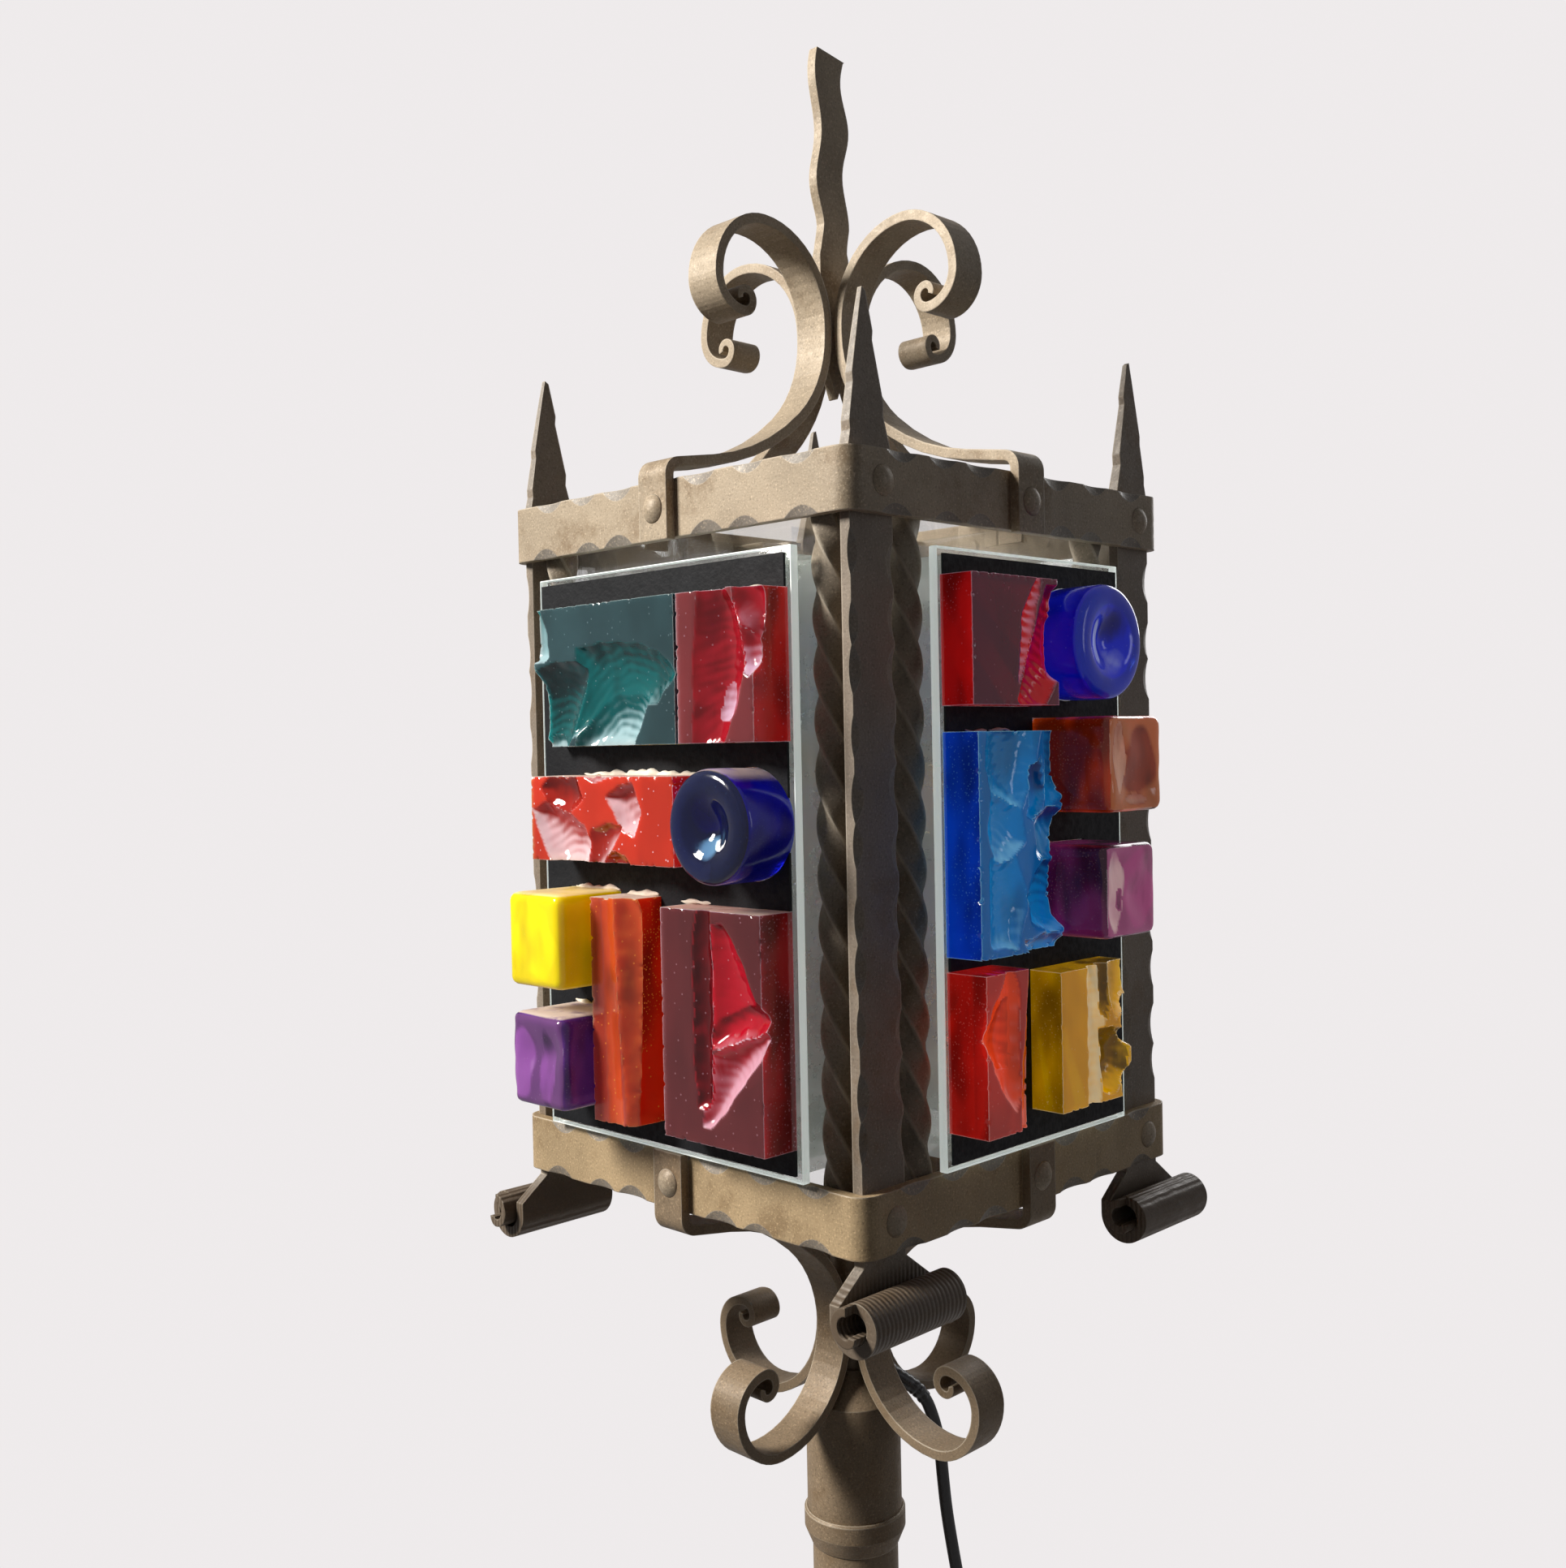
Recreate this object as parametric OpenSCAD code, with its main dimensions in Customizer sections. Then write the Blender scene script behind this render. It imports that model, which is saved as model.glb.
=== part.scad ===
// Lantern floor lamp: a forged iron lantern set with thick glass blocks, on a pole with four scroll legs.
// Millimetres, +Z up. The origin is on the floor, under the pole's axis.
// The lantern's faces look along -Y, +X, +Y and -X (faces 0, 1, 2 and 3).

/* [Lantern] */
// height of the lower band's underside above the floor
lan_z = 1172; // [1100:1:1250]
// outer width of the square bands
band_w = 220; // [206:1:236]
// height of the bands' flat bar
band_h = 25; // [22:0.5:28]
// thickness of the bands' flat bar
band_t = 5; // [4:0.5:6]
// outside radius of the bands' bent corners
band_r = 9; // [7:0.5:10]
// clear height between the two bands
clear_h = 264.5; // [250:0.5:285]

/* [Corner posts] */
// width of a post's flat bar
post_w = 25; // [22:0.5:28]
// thickness of a post's flat bar
post_t = 5; // [4:0.5:6]
// height of the pointed spike above the upper band
spike_h = 63; // [50:1:75]
// length of a rolled foot
roll_l = 54; // [44:1:58]
// radius of a rolled foot, to the middle of its bar
roll_r = 9.5; // [8.5:0.1:10.5]

/* [Twisted bars] */
// side of the square bar
twist_side = 11; // [9:0.5:12]
// length of bar in a quarter turn
twist_step = 20.6; // [18:0.1:24]
// middle of the front and back bars, from the band's side
twist_in_front = 23; // [22:0.5:25]
// middle of the side bars, from the band's side
twist_in_side = 45; // [42:0.5:46]

/* [Scrolls] */
// width of the scrolls' strap
strap_w = 18; // [14:0.5:19]
// thickness of the scrolls' strap
strap_t = 4.5; // [3.5:0.1:4.5]
// thickness of the strap at the curled tip
tip_t = 2.8; // [2.4:0.1:3.2]

/* [Finial] */
// height of the blade's top above the upper band
finial_h = 213.5; // [190:0.5:230]
// thickness of the blade
finial_t = 5; // [4:0.5:6]
// sideways sweep of the blade's waves
finial_wave = 2.2; // [1:0.1:3]

/* [Glass] */
// thickness of the base panes
pane_t = 3; // [2.5:0.5:4]
// thickness of the plates that carry the blocks
plate_t = 4; // [3:0.5:5]
// depth of the clear frame between pane and plate
spacer_d = 21; // [19:0.5:24]
// edge of the front and back plates, from the middle of the twisted bar beside it
plate_in_front = 5; // [2:0.5:6]
// edge of the side plates, from the middle of the twisted bar beside it
plate_in_side = 0.5; // [0:0.5:2]
// thickness of the black filling between the blocks
grout_t = 1.2; // [0.8:0.1:1.6]
// edge radius of the cast cubes
cube_r = 4; // [2:0.5:6]

/* [Pole] */
// outer diameter of the pole
pole_d = 41.2; // [38:0.2:44]
// wall of the pole and of the socket tube
pole_wall = 2; // [1.6:0.1:2.4]
// height of the collar ring
collar_h = 17; // [14:0.5:22]
// length of the socket tube below its cone
socket_l = 63; // [60:1:90]

/* [Base] */
// width of a leg's flat bar
leg_w = 25; // [20:0.5:30]
// thickness of a leg's flat bar
leg_t = 6; // [5:0.5:7]
// radius of a leg's sweep
leg_r = 130; // [110:1:145]
// height of the ring the legs are welded to
hub_h = 60; // [50:1:70]

/* [Lampholder and bulb] */
// radius of the lampholder's skirt
holder_r = 20; // [18:0.5:22]
// radius of the bulb
bulb_r = 30; // [22:0.5:32]

/* [Cord] */
// diameter of the cord
cord_d = 6; // [5:0.1:6.5]
// length of the switch on the cord
switch_l = 62; // [56:1:70]
// travel of the switch's button
button_travel = 3; // [2:0.5:4]

/* [Hidden] */

$fn = 48;
eps = 0.01;
seg = 7.5;                           // degrees of bend in one step of a strap's outline
rivet_fit = 0.05;                    // gap round a rivet's shank
rivet_tail = 1.4;                    // height of a rivet's inner head
glass_gap = 0.2;                     // gap between a pane and what stands beside it
iron = [0.25, 0.23, 0.2];
clear = [0.8, 0.9, 0.87, 0.4];
half = band_w / 2;
inner = half - band_t;
up_z = band_h + clear_h;             // underside of the upper band, from lan_z
top_z = up_z + band_h;
twist_r = twist_side * sqrt(2) / 2;
twist_off = inner - twist_r - 0.1;   // middle of a twisted bar, from the lantern's axis
pane_f = twist_off - twist_r - 0.1;  // front of a pane
plate_b = pane_f + spacer_d;
plate_f = plate_b + plate_t;         // front of a plate, where the blocks are glued
plate_z = band_h + 1.5;
twist_u_front = half - twist_in_front;
twist_u_side = half - twist_in_side;
plate_w_front = 2 * (twist_u_front - plate_in_front);
plate_w_side = 2 * (twist_u_side - plate_in_side);
plate_h = clear_h - 12.5;

// ---- outlines ----
// A bent bar's middle line: a list of steps, [0, length] straight or [radius, turn] bent, from p along h.
// Each point is [x, y, heading].
function bend(p, h, r, a) = let (s = sign(a), c = p + s * r * [-sin(h), cos(h)])
    c - s * r * [-sin(h + a), cos(h + a)];
function walk(steps, p, h, i = 0) = i >= len(steps) ? [[p[0], p[1], h]] :
    let (r = steps[i][0], a = steps[i][1], n = r == 0 ? 1 : ceil(abs(a) / seg))
    r == 0
    ? concat([[p[0], p[1], h]], walk(steps, p + a * [cos(h), sin(h)], h, i + 1))
    : concat([for (k = [0 : n - 1]) let (q = bend(p, h, r, a * k / n)) [q[0], q[1], h + a * k / n]],
        walk(steps, bend(p, h, r, a), h + a, i + 1));
// The bar's outline: thickness t0 at the start, and thinned to t1 from the share `from` of its points.
function side(w, t0, t1, from, s) = [for (k = [0 : len(w) - 1])
    let (f = max(0, (k / (len(w) - 1) - from) / (1 - from)), t = t0 + (t1 - t0) * f)
    [w[k][0] - s * t / 2 * sin(w[k][2]), w[k][1] + s * t / 2 * cos(w[k][2])]];
function flip(l) = [for (k = [len(l) - 1 : -1 : 0]) l[k]];
module bar(w, t0, t1, from = 0.6) polygon(concat(side(w, t0, t1, from, 1), flip(side(w, t0, t1, from, -1))));
// Stands an outline drawn in (distance from axis, height) up on face k, width w.
module stand(k, w) rotate([0, 0, 90 * k - 90]) rotate([90, 0, 0]) linear_extrude(w, center = true) children();
module face(k) rotate([0, 0, 90 * k]) children();
module corner(sx, sy) mirror([sx < 0 ? 1 : 0, 0, 0]) mirror([0, sy > 0 ? 1 : 0, 0]) children();
module rounded(w, h, r) {
    translate([r, 0]) square([w - 2 * r, h]);
    translate([0, r]) square([w, h - 2 * r]);
    for (x = [r, w - r], y = [r, h - r]) translate([x, y]) circle(r);
}

// ---- hammered bands ----
blow_r = 30;                         // radius of a hammer mark's hollow
blow_d = 1.5;                        // its depth at the edge of the bar
blow_tilt = 20;                      // how far the blow leans from the face
blow_n = 7;
// hammer marks along x on the edge at the origin, of a bar whose face looks along -Y; up = 1 is a top edge
module blows(n, pitch, up) for (i = [0 : n - 1])
    translate([(i - (n - 1) / 2) * pitch + 3 * sin(137 * i + 40 * up), 0, 0]) rotate([-blow_tilt * up, 0, 0])
    translate([0, -(blow_r - blow_d - 0.25 * sin(211 * i)), 0]) cylinder(r = blow_r, h = 30, center = true);
rivet_r = 3;
corner_rivet = 19.3;                 // from the outside of the corner
module band(z) translate([0, 0, lan_z + z]) difference() {
    linear_extrude(band_h) difference() {
        translate([-half, -half]) rounded(band_w, band_w, band_r);
        square(2 * inner, center = true);
    }
    for (k = [0 : 3]) face(k) {
        translate([0, -half, 0]) blows(blow_n, 27, -1);
        translate([0, -half, band_h]) blows(blow_n, 27, 1);
        translate([0, -half - 1, band_h / 2]) rotate([-90, 0, 0]) cylinder(r = rivet_r, h = band_t + 2);
    }
    for (s = [-1, 1]) translate([-half - 1, s * (half - corner_rivet), band_h / 2]) rotate([0, 90, 0])
        cylinder(r = rivet_r, h = band_w + 2);
}
module upper_band() color(iron) band(up_z);
module lower_band() color(iron) band(0);

// ---- corner posts ----
foot_drop = 21;                      // from the lower band's underside to the middle of the roll
roll_tip = 3.4;                      // thickness of the roll's inner turn
roll_slip = 6;                       // how far the roll's inner turn has slid out sideways
roll_line = walk([[roll_r, 180], [roll_r * 0.82, 90], [roll_r * 0.64, 180], [roll_r * 0.3, 90]], [0, 0], -90);
spike = [[0, 0], [0.06, 0.1], [0.05, 0.16], [0.16, 0.4], [0.15, 0.46], [0.36, 0.86], [0.44, 1], [0.52, 0.98],
    [0.66, 0.74], [0.64, 0.68], [0.86, 0.3], [0.84, 0.22], [1, 0]];
module post(slip) {
    inner_turn = [for (k = [36 : len(roll_line) - 1]) roll_line[k]];
    outer_turns = [for (k = [0 : 42]) roll_line[k]];
    translate([inner - post_t, -inner, lan_z]) difference() {
        union() {
            translate([0, 0, -6]) cube([post_t, post_w, top_z + 6]);
            intersection() {
                translate([0, 0, top_z]) rotate([90, 0, 90]) linear_extrude(post_t)
                    polygon([for (q = spike) [q[0] * post_w, q[1] * spike_h]]);
                translate([0, post_w + 1, top_z]) rotate([90, 0, 0]) linear_extrude(post_w + 2)
                    polygon([[0, 0], [post_t, 0], [post_t * 0.72, spike_h + 1], [post_t * 0.28, spike_h + 1]]);
            }
            translate([0, post_w / 2, 0]) rotate([90, 0, 90]) linear_extrude(post_t) polygon([
                [-post_w / 2, 0], [post_w / 2, 0], [post_w / 2, -4], [roll_l / 2, -foot_drop + 6],
                [roll_l / 2, -foot_drop], [-roll_l / 2, -foot_drop], [-roll_l / 2, -foot_drop + 6],
                [-post_w / 2, -4]]);
            translate([post_t / 2, post_w / 2, -foot_drop]) rotate([90, 0, 0]) {
                linear_extrude(roll_l, center = true) bar(outer_turns, post_t, roll_tip);
                translate([0, 0, slip * roll_slip]) linear_extrude(roll_l, center = true) bar(inner_turn, roll_tip, roll_tip);
            }
        }
        for (z = [band_h / 2, up_z + band_h / 2]) translate([-1, corner_rivet - band_t, z]) rotate([0, 90, 0])
            cylinder(r = rivet_r, h = post_t + 2);
        // hammer marks on both long edges of the outer face
        translate([post_t, 0, band_h + clear_h / 2]) rotate([0, 90, 90]) blows(11, 23, -1);
        translate([post_t, post_w, band_h + clear_h / 2]) rotate([0, 90, 90]) blows(11, 23, 1);
    }
}
module corner_post_1() color(iron) corner(1, -1) post(1);
module corner_post_2() color(iron) corner(1, 1) post(-1);
module corner_post_3() color(iron) corner(-1, 1) post(-1);
module corner_post_4() color(iron) corner(-1, -1) post(1);

// ---- twisted bars ----
twist_z = 3;
twist_l = top_z - 2 * twist_z;
quarters = twist_l / twist_step;
module twisted() translate([0, 0, lan_z + twist_z])
    linear_extrude(twist_l, twist = quarters * 90, slices = round(quarters) * 4, $fn = 4) square(twist_side, center = true);
module twist_bars() color(iron) for (sx = [-1, 1], sy = [-1, 1]) {
    translate([sx * twist_u_front, sy * twist_off, 0]) twisted();
    translate([sx * twist_off, sy * twist_u_side, 0]) twisted();
}

// ---- scrolls ----
neck = 12;                           // middle of a strap from the axis, where the four meet
strap_c = half + strap_t / 2;
lead_a = [81, 32, 49];               // turn from upright, then back in two bends
lead_r = [6, 110, 55];
neck_play = 0.27;
lead_h = 90 + lead_a[0] - lead_a[1]; // heading between the two bends back
lead_run = (strap_c - neck - neck_play - lead_r[0] * (1 - cos(lead_a[0])) - lead_r[2] * (1 - sin(lead_h))
    - lead_r[1] * (sin(lead_h) - sin(90 + lead_a[0]))) / sin(lead_a[0]);
lead = [[lead_r[0], lead_a[0]], [0, lead_run], [lead_r[1], -lead_a[1]], [lead_r[2], -lead_a[2]]];
top_steps = concat([[0, 27.3]], lead, [[0, 4], [40, -90], [28.5, -90], [14.6, -90], [5.6, -90], [4.4, -90], [3.4, -110]]);
low_steps = concat([[0, 28]], lead, [[45, -90], [25, -90], [15.5, -90], [6.4, -90], [4.8, -90], [3.5, -110]]);
module scroll(steps, z, up) difference() {
    stand(0, strap_w) translate([0, z]) mirror([0, up > 0 ? 0 : 1]) bar(walk(steps, [strap_c, 0], 90), strap_t, tip_t);
    translate([0, -half - strap_t - 1, z + up * (band_h / 2 + 1)]) rotate([-90, 0, 0])
        cylinder(r = rivet_r, h = strap_t + 2);
}
module top_scroll(k) color(iron) face(k) scroll(top_steps, lan_z + up_z - 1, 1);
module bottom_scroll(k) color(iron) face(k) scroll(low_steps, lan_z + band_h + 1, -1);
module top_scroll_1() top_scroll(0);
module top_scroll_2() top_scroll(1);
module top_scroll_3() top_scroll(2);
module top_scroll_4() top_scroll(3);
module bottom_scroll_1() bottom_scroll(0);
module bottom_scroll_2() bottom_scroll(1);
module bottom_scroll_3() bottom_scroll(2);
module bottom_scroll_4() bottom_scroll(3);

// ---- finial: a flame-shaped blade, pointed below, held between the necks of the top scrolls ----
core_w = 2 * neck - strap_t;         // clear square between the four straps
blade_z = top_z + 50;                // height of its lower point
blade_l = finial_h - 50;
function blade_x(f) = f < 0.42 ? 0 : finial_wave * sin((f - 0.42) * 1250) * min(1, (f - 0.42) * 12);
function blade_w(f) = f < 0.14 ? 0.8 + (core_w - 0.8) * f / 0.14 : core_w - (f < 0.42 ? 0 : 1.6 + 0.8 * sin(f * 1700));
blade_n = 56;
module finial() color(iron) translate([-finial_t / 2, 0, lan_z + blade_z]) rotate([90, 0, 90])
    linear_extrude(finial_t) polygon(concat(
        [for (i = [0 : blade_n]) let (f = i / blade_n) [blade_x(f) - blade_w(f) / 2, f * blade_l]],
        [for (i = [blade_n : -1 : 0]) let (f = i / blade_n) [blade_x(f) + blade_w(f) / 2, f * blade_l - (i == blade_n ? 2.4 : 0)]]));

// ---- rivets ----
module rivet(grip) {
    translate([0, 0, -grip]) cylinder(r = rivet_r - rivet_fit, h = grip);
    intersection() {
        translate([0, 0, -5.9]) sphere(r = 8.6);
        cylinder(r = 8, h = 4);
    }
    translate([0, 0, -grip]) mirror([0, 0, 1]) cylinder(r1 = 4.6, r2 = 3.4, h = rivet_tail);
}
module rivets() color(iron) for (z = [lan_z + band_h / 2, lan_z + up_z + band_h / 2]) {
    for (sx = [-1, 1], sy = [-1, 1]) translate([sx * half, sy * (half - corner_rivet), z])
        rotate([0, sx * 90, 0]) rivet(band_t + post_t);
    for (k = [0 : 3]) face(k) translate([0, -half - strap_t, z]) rotate([90, 0, 0]) rivet(band_t + strap_t);
}

// ---- glass ----
pane_z = 8;
pane_h = top_z - 2 * pane_z;
pane_w_front = 2 * (inner - post_t - rivet_tail - glass_gap);
pane_w_side = 2 * (pane_f - pane_t - glass_gap);
function is_side(k) = k % 2 == 1;
module each_face() for (k = [0 : 3]) face(k) {
    $k = k;
    children();
}
module sheet(w, front, t, z, h) translate([-w / 2, -front, lan_z + z]) cube([w, t, h]);
module glass_panes() color(clear) each_face()
    sheet(is_side($k) ? pane_w_side : pane_w_front, pane_f, pane_t, pane_z, pane_h);
module block_plates() color(clear) each_face()
    sheet(is_side($k) ? plate_w_side : plate_w_front, plate_f, plate_t, plate_z, plate_h);
frame_in = 3;                        // the frame's set-back from the plate's edges, above and below
frame_t = 4;
function frame_w(k) = 2 * ((is_side(k) ? twist_u_side : twist_u_front) - twist_r - 1);
module spacer_frames() color(clear) each_face() difference() {
    sheet(frame_w($k), plate_b, spacer_d, plate_z + frame_in, plate_h - 2 * frame_in);
    sheet(frame_w($k) - 2 * frame_t, plate_b + 1, spacer_d + 2, plate_z + frame_in + frame_t,
        plate_h - 2 * (frame_in + frame_t));
}
clip_w = 14;
clip_t = 2;
module clip() rotate([90, 0, 90]) linear_extrude(clip_w, center = true) polygon([
    [-inner, 0], [-(pane_f - pane_t - clip_t - glass_gap), 0], [-(pane_f - pane_t - clip_t - glass_gap), clip_t + 8],
    [-(pane_f - pane_t - glass_gap), clip_t + 8], [-(pane_f - pane_t - glass_gap), clip_t], [-inner, clip_t]]);
module glass_clips() color(iron) each_face() for (s = [-1, 1]) translate([s * 40, 0, lan_z]) {
    translate([0, 0, pane_z - clip_t]) clip();
    translate([0, 0, top_z - pane_z + clip_t]) mirror([0, 0, 1]) clip();
}

// ---- glass blocks: [left, bottom, width, height, depth], seen from outside the face ----
// the layout was drawn on plates of these sizes, and spreads with them
drawn_front = 164;
drawn_side = 129;
drawn_h = 252;
drawn_z = 26.5;
function spread(k) = is_side(k) ? plate_w_side / drawn_side : plate_w_front / drawn_front;
function laid_z(z) = plate_z + (z - drawn_z) * plate_h / drawn_h;
function laid(k, b) = [b[0] * spread(k), laid_z(b[1]), b[2] * spread(k), b[3] * plate_h / drawn_h, b[4]];
function laid_round(k, b) = [b[0] * spread(k), laid_z(b[1]), b[2] * spread(k), b[3]];
f_teal = laid(0, [-63, 201.5, 95, 61, 18]);
f_red = laid(0, [36, 201.5, 44, 60.5, 20]);
f_orange = laid(0, [-62, 151.5, 96, 37, 22]);
f_roundel = laid_round(0, [58.5, 168.5, 23, 27]); // middle, radius, depth
f_yellow = laid(0, [-63, 97, 37, 41, 36]);
f_purple = laid(0, [-62, 45, 37, 40.5, 36]);
f_bar = laid(0, [-24, 40, 25, 96.5, 20]);
f_darkred = laid(0, [20, 40, 59, 94.5, 18]);
s_red = laid(1, [-62.5, 214.5, 57.5, 52.5, 16]);
s_roundel = laid_round(1, [21.5, 241.5, 24.5, 25]);
s_blue = laid(1, [-62.5, 113.5, 55.5, 90.5, 18]);
s_amber = laid(1, [-3.5, 169.5, 39.5, 40, 40]);
s_pink = laid(1, [-4, 117, 37, 39, 38]);
s_block = laid(1, [-62.5, 42.5, 28.5, 65, 20]);
s_olive = laid(1, [-8, 43, 52, 59.5, 17]);
// hollows broken out of a slab: each [x, z, radius, depth] from the block's lower left corner at the front
module slab(k, b, chips = []) face(k) translate([b[0], -plate_f - b[4], lan_z + b[1]]) difference() {
    cube([b[2], b[4], b[3]]);
    for (c = chips) translate([c[0], c[3] - c[2], c[1]]) sphere(r = c[2], $fn = 64);
}
module cast_cube(k, b) face(k) translate([b[0], -plate_f - b[4], lan_z + b[1]]) intersection() {
    translate([0, b[4], 0]) rotate([90, 0, 0]) linear_extrude(b[4]) rounded(b[2], b[3], cube_r);
    linear_extrude(b[3]) union() {
        rounded(b[2], b[4], cube_r);
        translate([0, b[4] / 2]) square([b[2], b[4] / 2]);
    }
    rotate([90, 0, 90]) linear_extrude(b[2]) union() {
        rounded(b[4], b[3], cube_r);
        translate([b[4] / 2, 0]) square([b[4] / 2, b[3]]);
    }
}
rim = 4;                             // rounding of a roundel's rim
module roundel(k, b) face(k) translate([b[0], -plate_f, lan_z + b[1]]) rotate([90, 0, 0]) rotate_extrude($fn = 72)
    polygon(concat([[0, 0], [b[2], 0]],
        [for (a = [0 : 15 : 90]) [b[2] - rim + rim * cos(a), b[3] - rim + rim * sin(a)]],
        [for (i = [0 : 6]) let (x = (b[2] - rim - 4) * (1 - i / 6)) [x, b[3] - 7 * cos(90 * (1 - i / 6)) * cos(90 * (1 - i / 6))]]));

teal_chips = [[46, 10, 34, 11], [54, 2, 18, 9], [-4, 56, 14, 9], [10, 4, 16, 7]];
red_chips = [[30, 34, 22, 9], [24, 14, 30, 8], [46, 44, 16, 6]];
orange_chips = [[20, 8, 20, 9], [58, 24, 16, 6], [66, 4, 18, 5], [4, 34, 12, 4]];
bar_chips = [[25, 60, 30, 5], [26, 24, 24, 5], [20, 90, 14, 3]];
darkred_chips = [[44, 54, 24, 8], [40, 26, 26, 9], [48, 74, 20, 5]];
s_red_chips = [[38, 24, 18, 7], [30, 8, 14, 6], [50, 40, 16, 6]];
s_blue_chips = [[34, 60, 26, 8], [20, 22, 20, 6], [46, 30, 18, 6], [56, 66, 12, 5], [10, 84, 14, 5]];
s_block_chips = [[12, 34, 18, 6], [18, 14, 16, 5], [22, 54, 12, 4]];
s_olive_chips = [[40, 30, 18, 7], [50, 50, 12, 5], [30, 12, 18, 5]];
module front_teal_slab() color([0.05, 0.3, 0.33, 0.8]) slab(0, f_teal, teal_chips);
module front_red_slab() color([0.6, 0.05, 0.07, 0.8]) slab(0, f_red, red_chips);
module front_orange_slab() color([0.85, 0.15, 0.05, 0.8]) slab(0, f_orange, orange_chips);
module front_blue_roundel() color([0.05, 0.07, 0.5, 0.8]) roundel(0, f_roundel);
module front_yellow_cube() color([0.95, 0.85, 0.03, 0.8]) cast_cube(0, f_yellow);
module front_purple_cube() color([0.4, 0.2, 0.5, 0.8]) cast_cube(0, f_purple);
module front_orange_bar() color([0.8, 0.15, 0.05, 0.8]) slab(0, f_bar, bar_chips);
module front_darkred_slab() color([0.4, 0.03, 0.06, 0.8]) slab(0, f_darkred, darkred_chips);
module side_red_slab() color([0.5, 0.04, 0.06, 0.8]) slab(1, s_red, s_red_chips);
module side_blue_roundel() color([0.03, 0.07, 0.6, 0.8]) roundel(1, s_roundel);
module side_blue_slab() color([0.02, 0.25, 0.7, 0.8]) slab(1, s_blue, s_blue_chips);
module side_amber_cube() color([0.6, 0.25, 0.1, 0.8]) cast_cube(1, s_amber);
module side_pink_cube() color([0.55, 0.2, 0.35, 0.8]) cast_cube(1, s_pink);
module side_red_block() color([0.75, 0.12, 0.05, 0.8]) slab(1, s_block, s_block_chips);
module side_olive_block() color([0.7, 0.6, 0.03, 0.8]) slab(1, s_olive, s_olive_chips);
module rear_red_blocks() color([0.55, 0.05, 0.05, 0.8]) {
    slab(2, f_teal, orange_chips);
    slab(2, f_darkred, darkred_chips);
    slab(3, s_blue, s_blue_chips);
    slab(3, s_olive, s_olive_chips);
}
module rear_blue_blocks() color([0.04, 0.15, 0.5, 0.8]) {
    slab(2, f_red, red_chips);
    roundel(2, f_roundel);
    slab(2, f_bar, bar_chips);
    slab(3, s_red, s_red_chips);
    slab(3, s_block, s_block_chips);
}
module rear_amber_blocks() color([0.75, 0.45, 0.05, 0.8]) {
    slab(2, f_orange, orange_chips);
    cast_cube(2, f_yellow);
    cast_cube(2, f_purple);
    roundel(3, s_roundel);
    cast_cube(3, s_amber);
    cast_cube(3, s_pink);
}
grout_in = 3;                        // clear margin of a plate outside the filling
grout_gap = 0.15;
front_slabs = [f_teal, f_red, f_orange, f_yellow, f_purple, f_bar, f_darkred];
side_slabs = [s_red, s_blue, s_amber, s_pink, s_block, s_olive];
module grout() color([0.05, 0.05, 0.06]) each_face() translate([0, -plate_f, lan_z]) rotate([90, 0, 0])
    linear_extrude(grout_t) difference() {
        w = (is_side($k) ? plate_w_side : plate_w_front) - 2 * grout_in;
        translate([-w / 2, plate_z + grout_in]) square([w, plate_h - 2 * grout_in]);
        for (b = is_side($k) ? side_slabs : front_slabs) translate([b[0] - grout_gap, b[1] - grout_gap])
            square([b[2] + 2 * grout_gap, b[3] + 2 * grout_gap]);
        translate(is_side($k) ? [s_roundel[0], s_roundel[1]] : [f_roundel[0], f_roundel[1]])
            circle(r = (is_side($k) ? s_roundel[2] : f_roundel[2]) + grout_gap, $fn = 72);
    }

// ---- pipe, socket tube, collar and pole ----
pipe_r = core_w / 2 - 0.05;
pipe_wall = 2;
cone_h = 15;
cone_z = -99;                        // top of the cone, from lan_z
tube_r = pole_d / 2 + 0.2 + pole_wall;
holder_z = 45;                       // foot of the lampholder, from lan_z
socket_z = cone_z - cone_h - socket_l;
bush_tilt = 32;                      // how far the cord's outlet leans below level
bush_rho = 15.4;
bush_z = cone_z - 3.5;
bush_bore = 3.6;
module on_outlet(d) rotate([0, 0, 45]) translate([bush_rho, 0, lan_z + bush_z])
    rotate([0, 90 + bush_tilt, 0]) translate([0, 0, d]) children();
module core_pipe() color(iron) translate([0, 0, lan_z]) difference() {
    translate([0, 0, cone_z - 12]) cylinder(r = pipe_r, h = holder_z - cone_z + 12);
    translate([0, 0, cone_z - 13]) cylinder(r = pipe_r - pipe_wall, h = holder_z - cone_z + 14);
    translate([0, 0, -lan_z]) on_outlet(-13) cylinder(r = bush_bore, h = 14);
}
module socket_tube() color(iron) difference() {
    translate([0, 0, lan_z]) union() {
        translate([0, 0, socket_z]) cylinder(r = tube_r, h = socket_l, $fn = 96);
        translate([0, 0, cone_z - cone_h]) cylinder(r1 = tube_r, r2 = pipe_r + 2, h = cone_h, $fn = 96);
    }
    translate([0, 0, lan_z + socket_z - 1]) cylinder(r = tube_r - pole_wall, h = socket_l - 4, $fn = 96);
    translate([0, 0, lan_z + cone_z - 12]) cylinder(r = pipe_r + 0.02, h = 20, $fn = 96);
    on_outlet(-13) cylinder(r = bush_bore, h = 30);
}
module cord_bush() color([0.03, 0.03, 0.03]) on_outlet(0) difference() {
    union() {
        translate([0, 0, -3.4]) cylinder(r = bush_bore - 0.05, h = 14);
        translate([0, 0, 9.8]) cylinder(r1 = 4.8, r2 = 4, h = 4.2);
    }
    translate([0, 0, -4]) cylinder(r = cr + 0.1, h = 20);
}
collar_taper = 8;
collar_t = 1.6;
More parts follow.
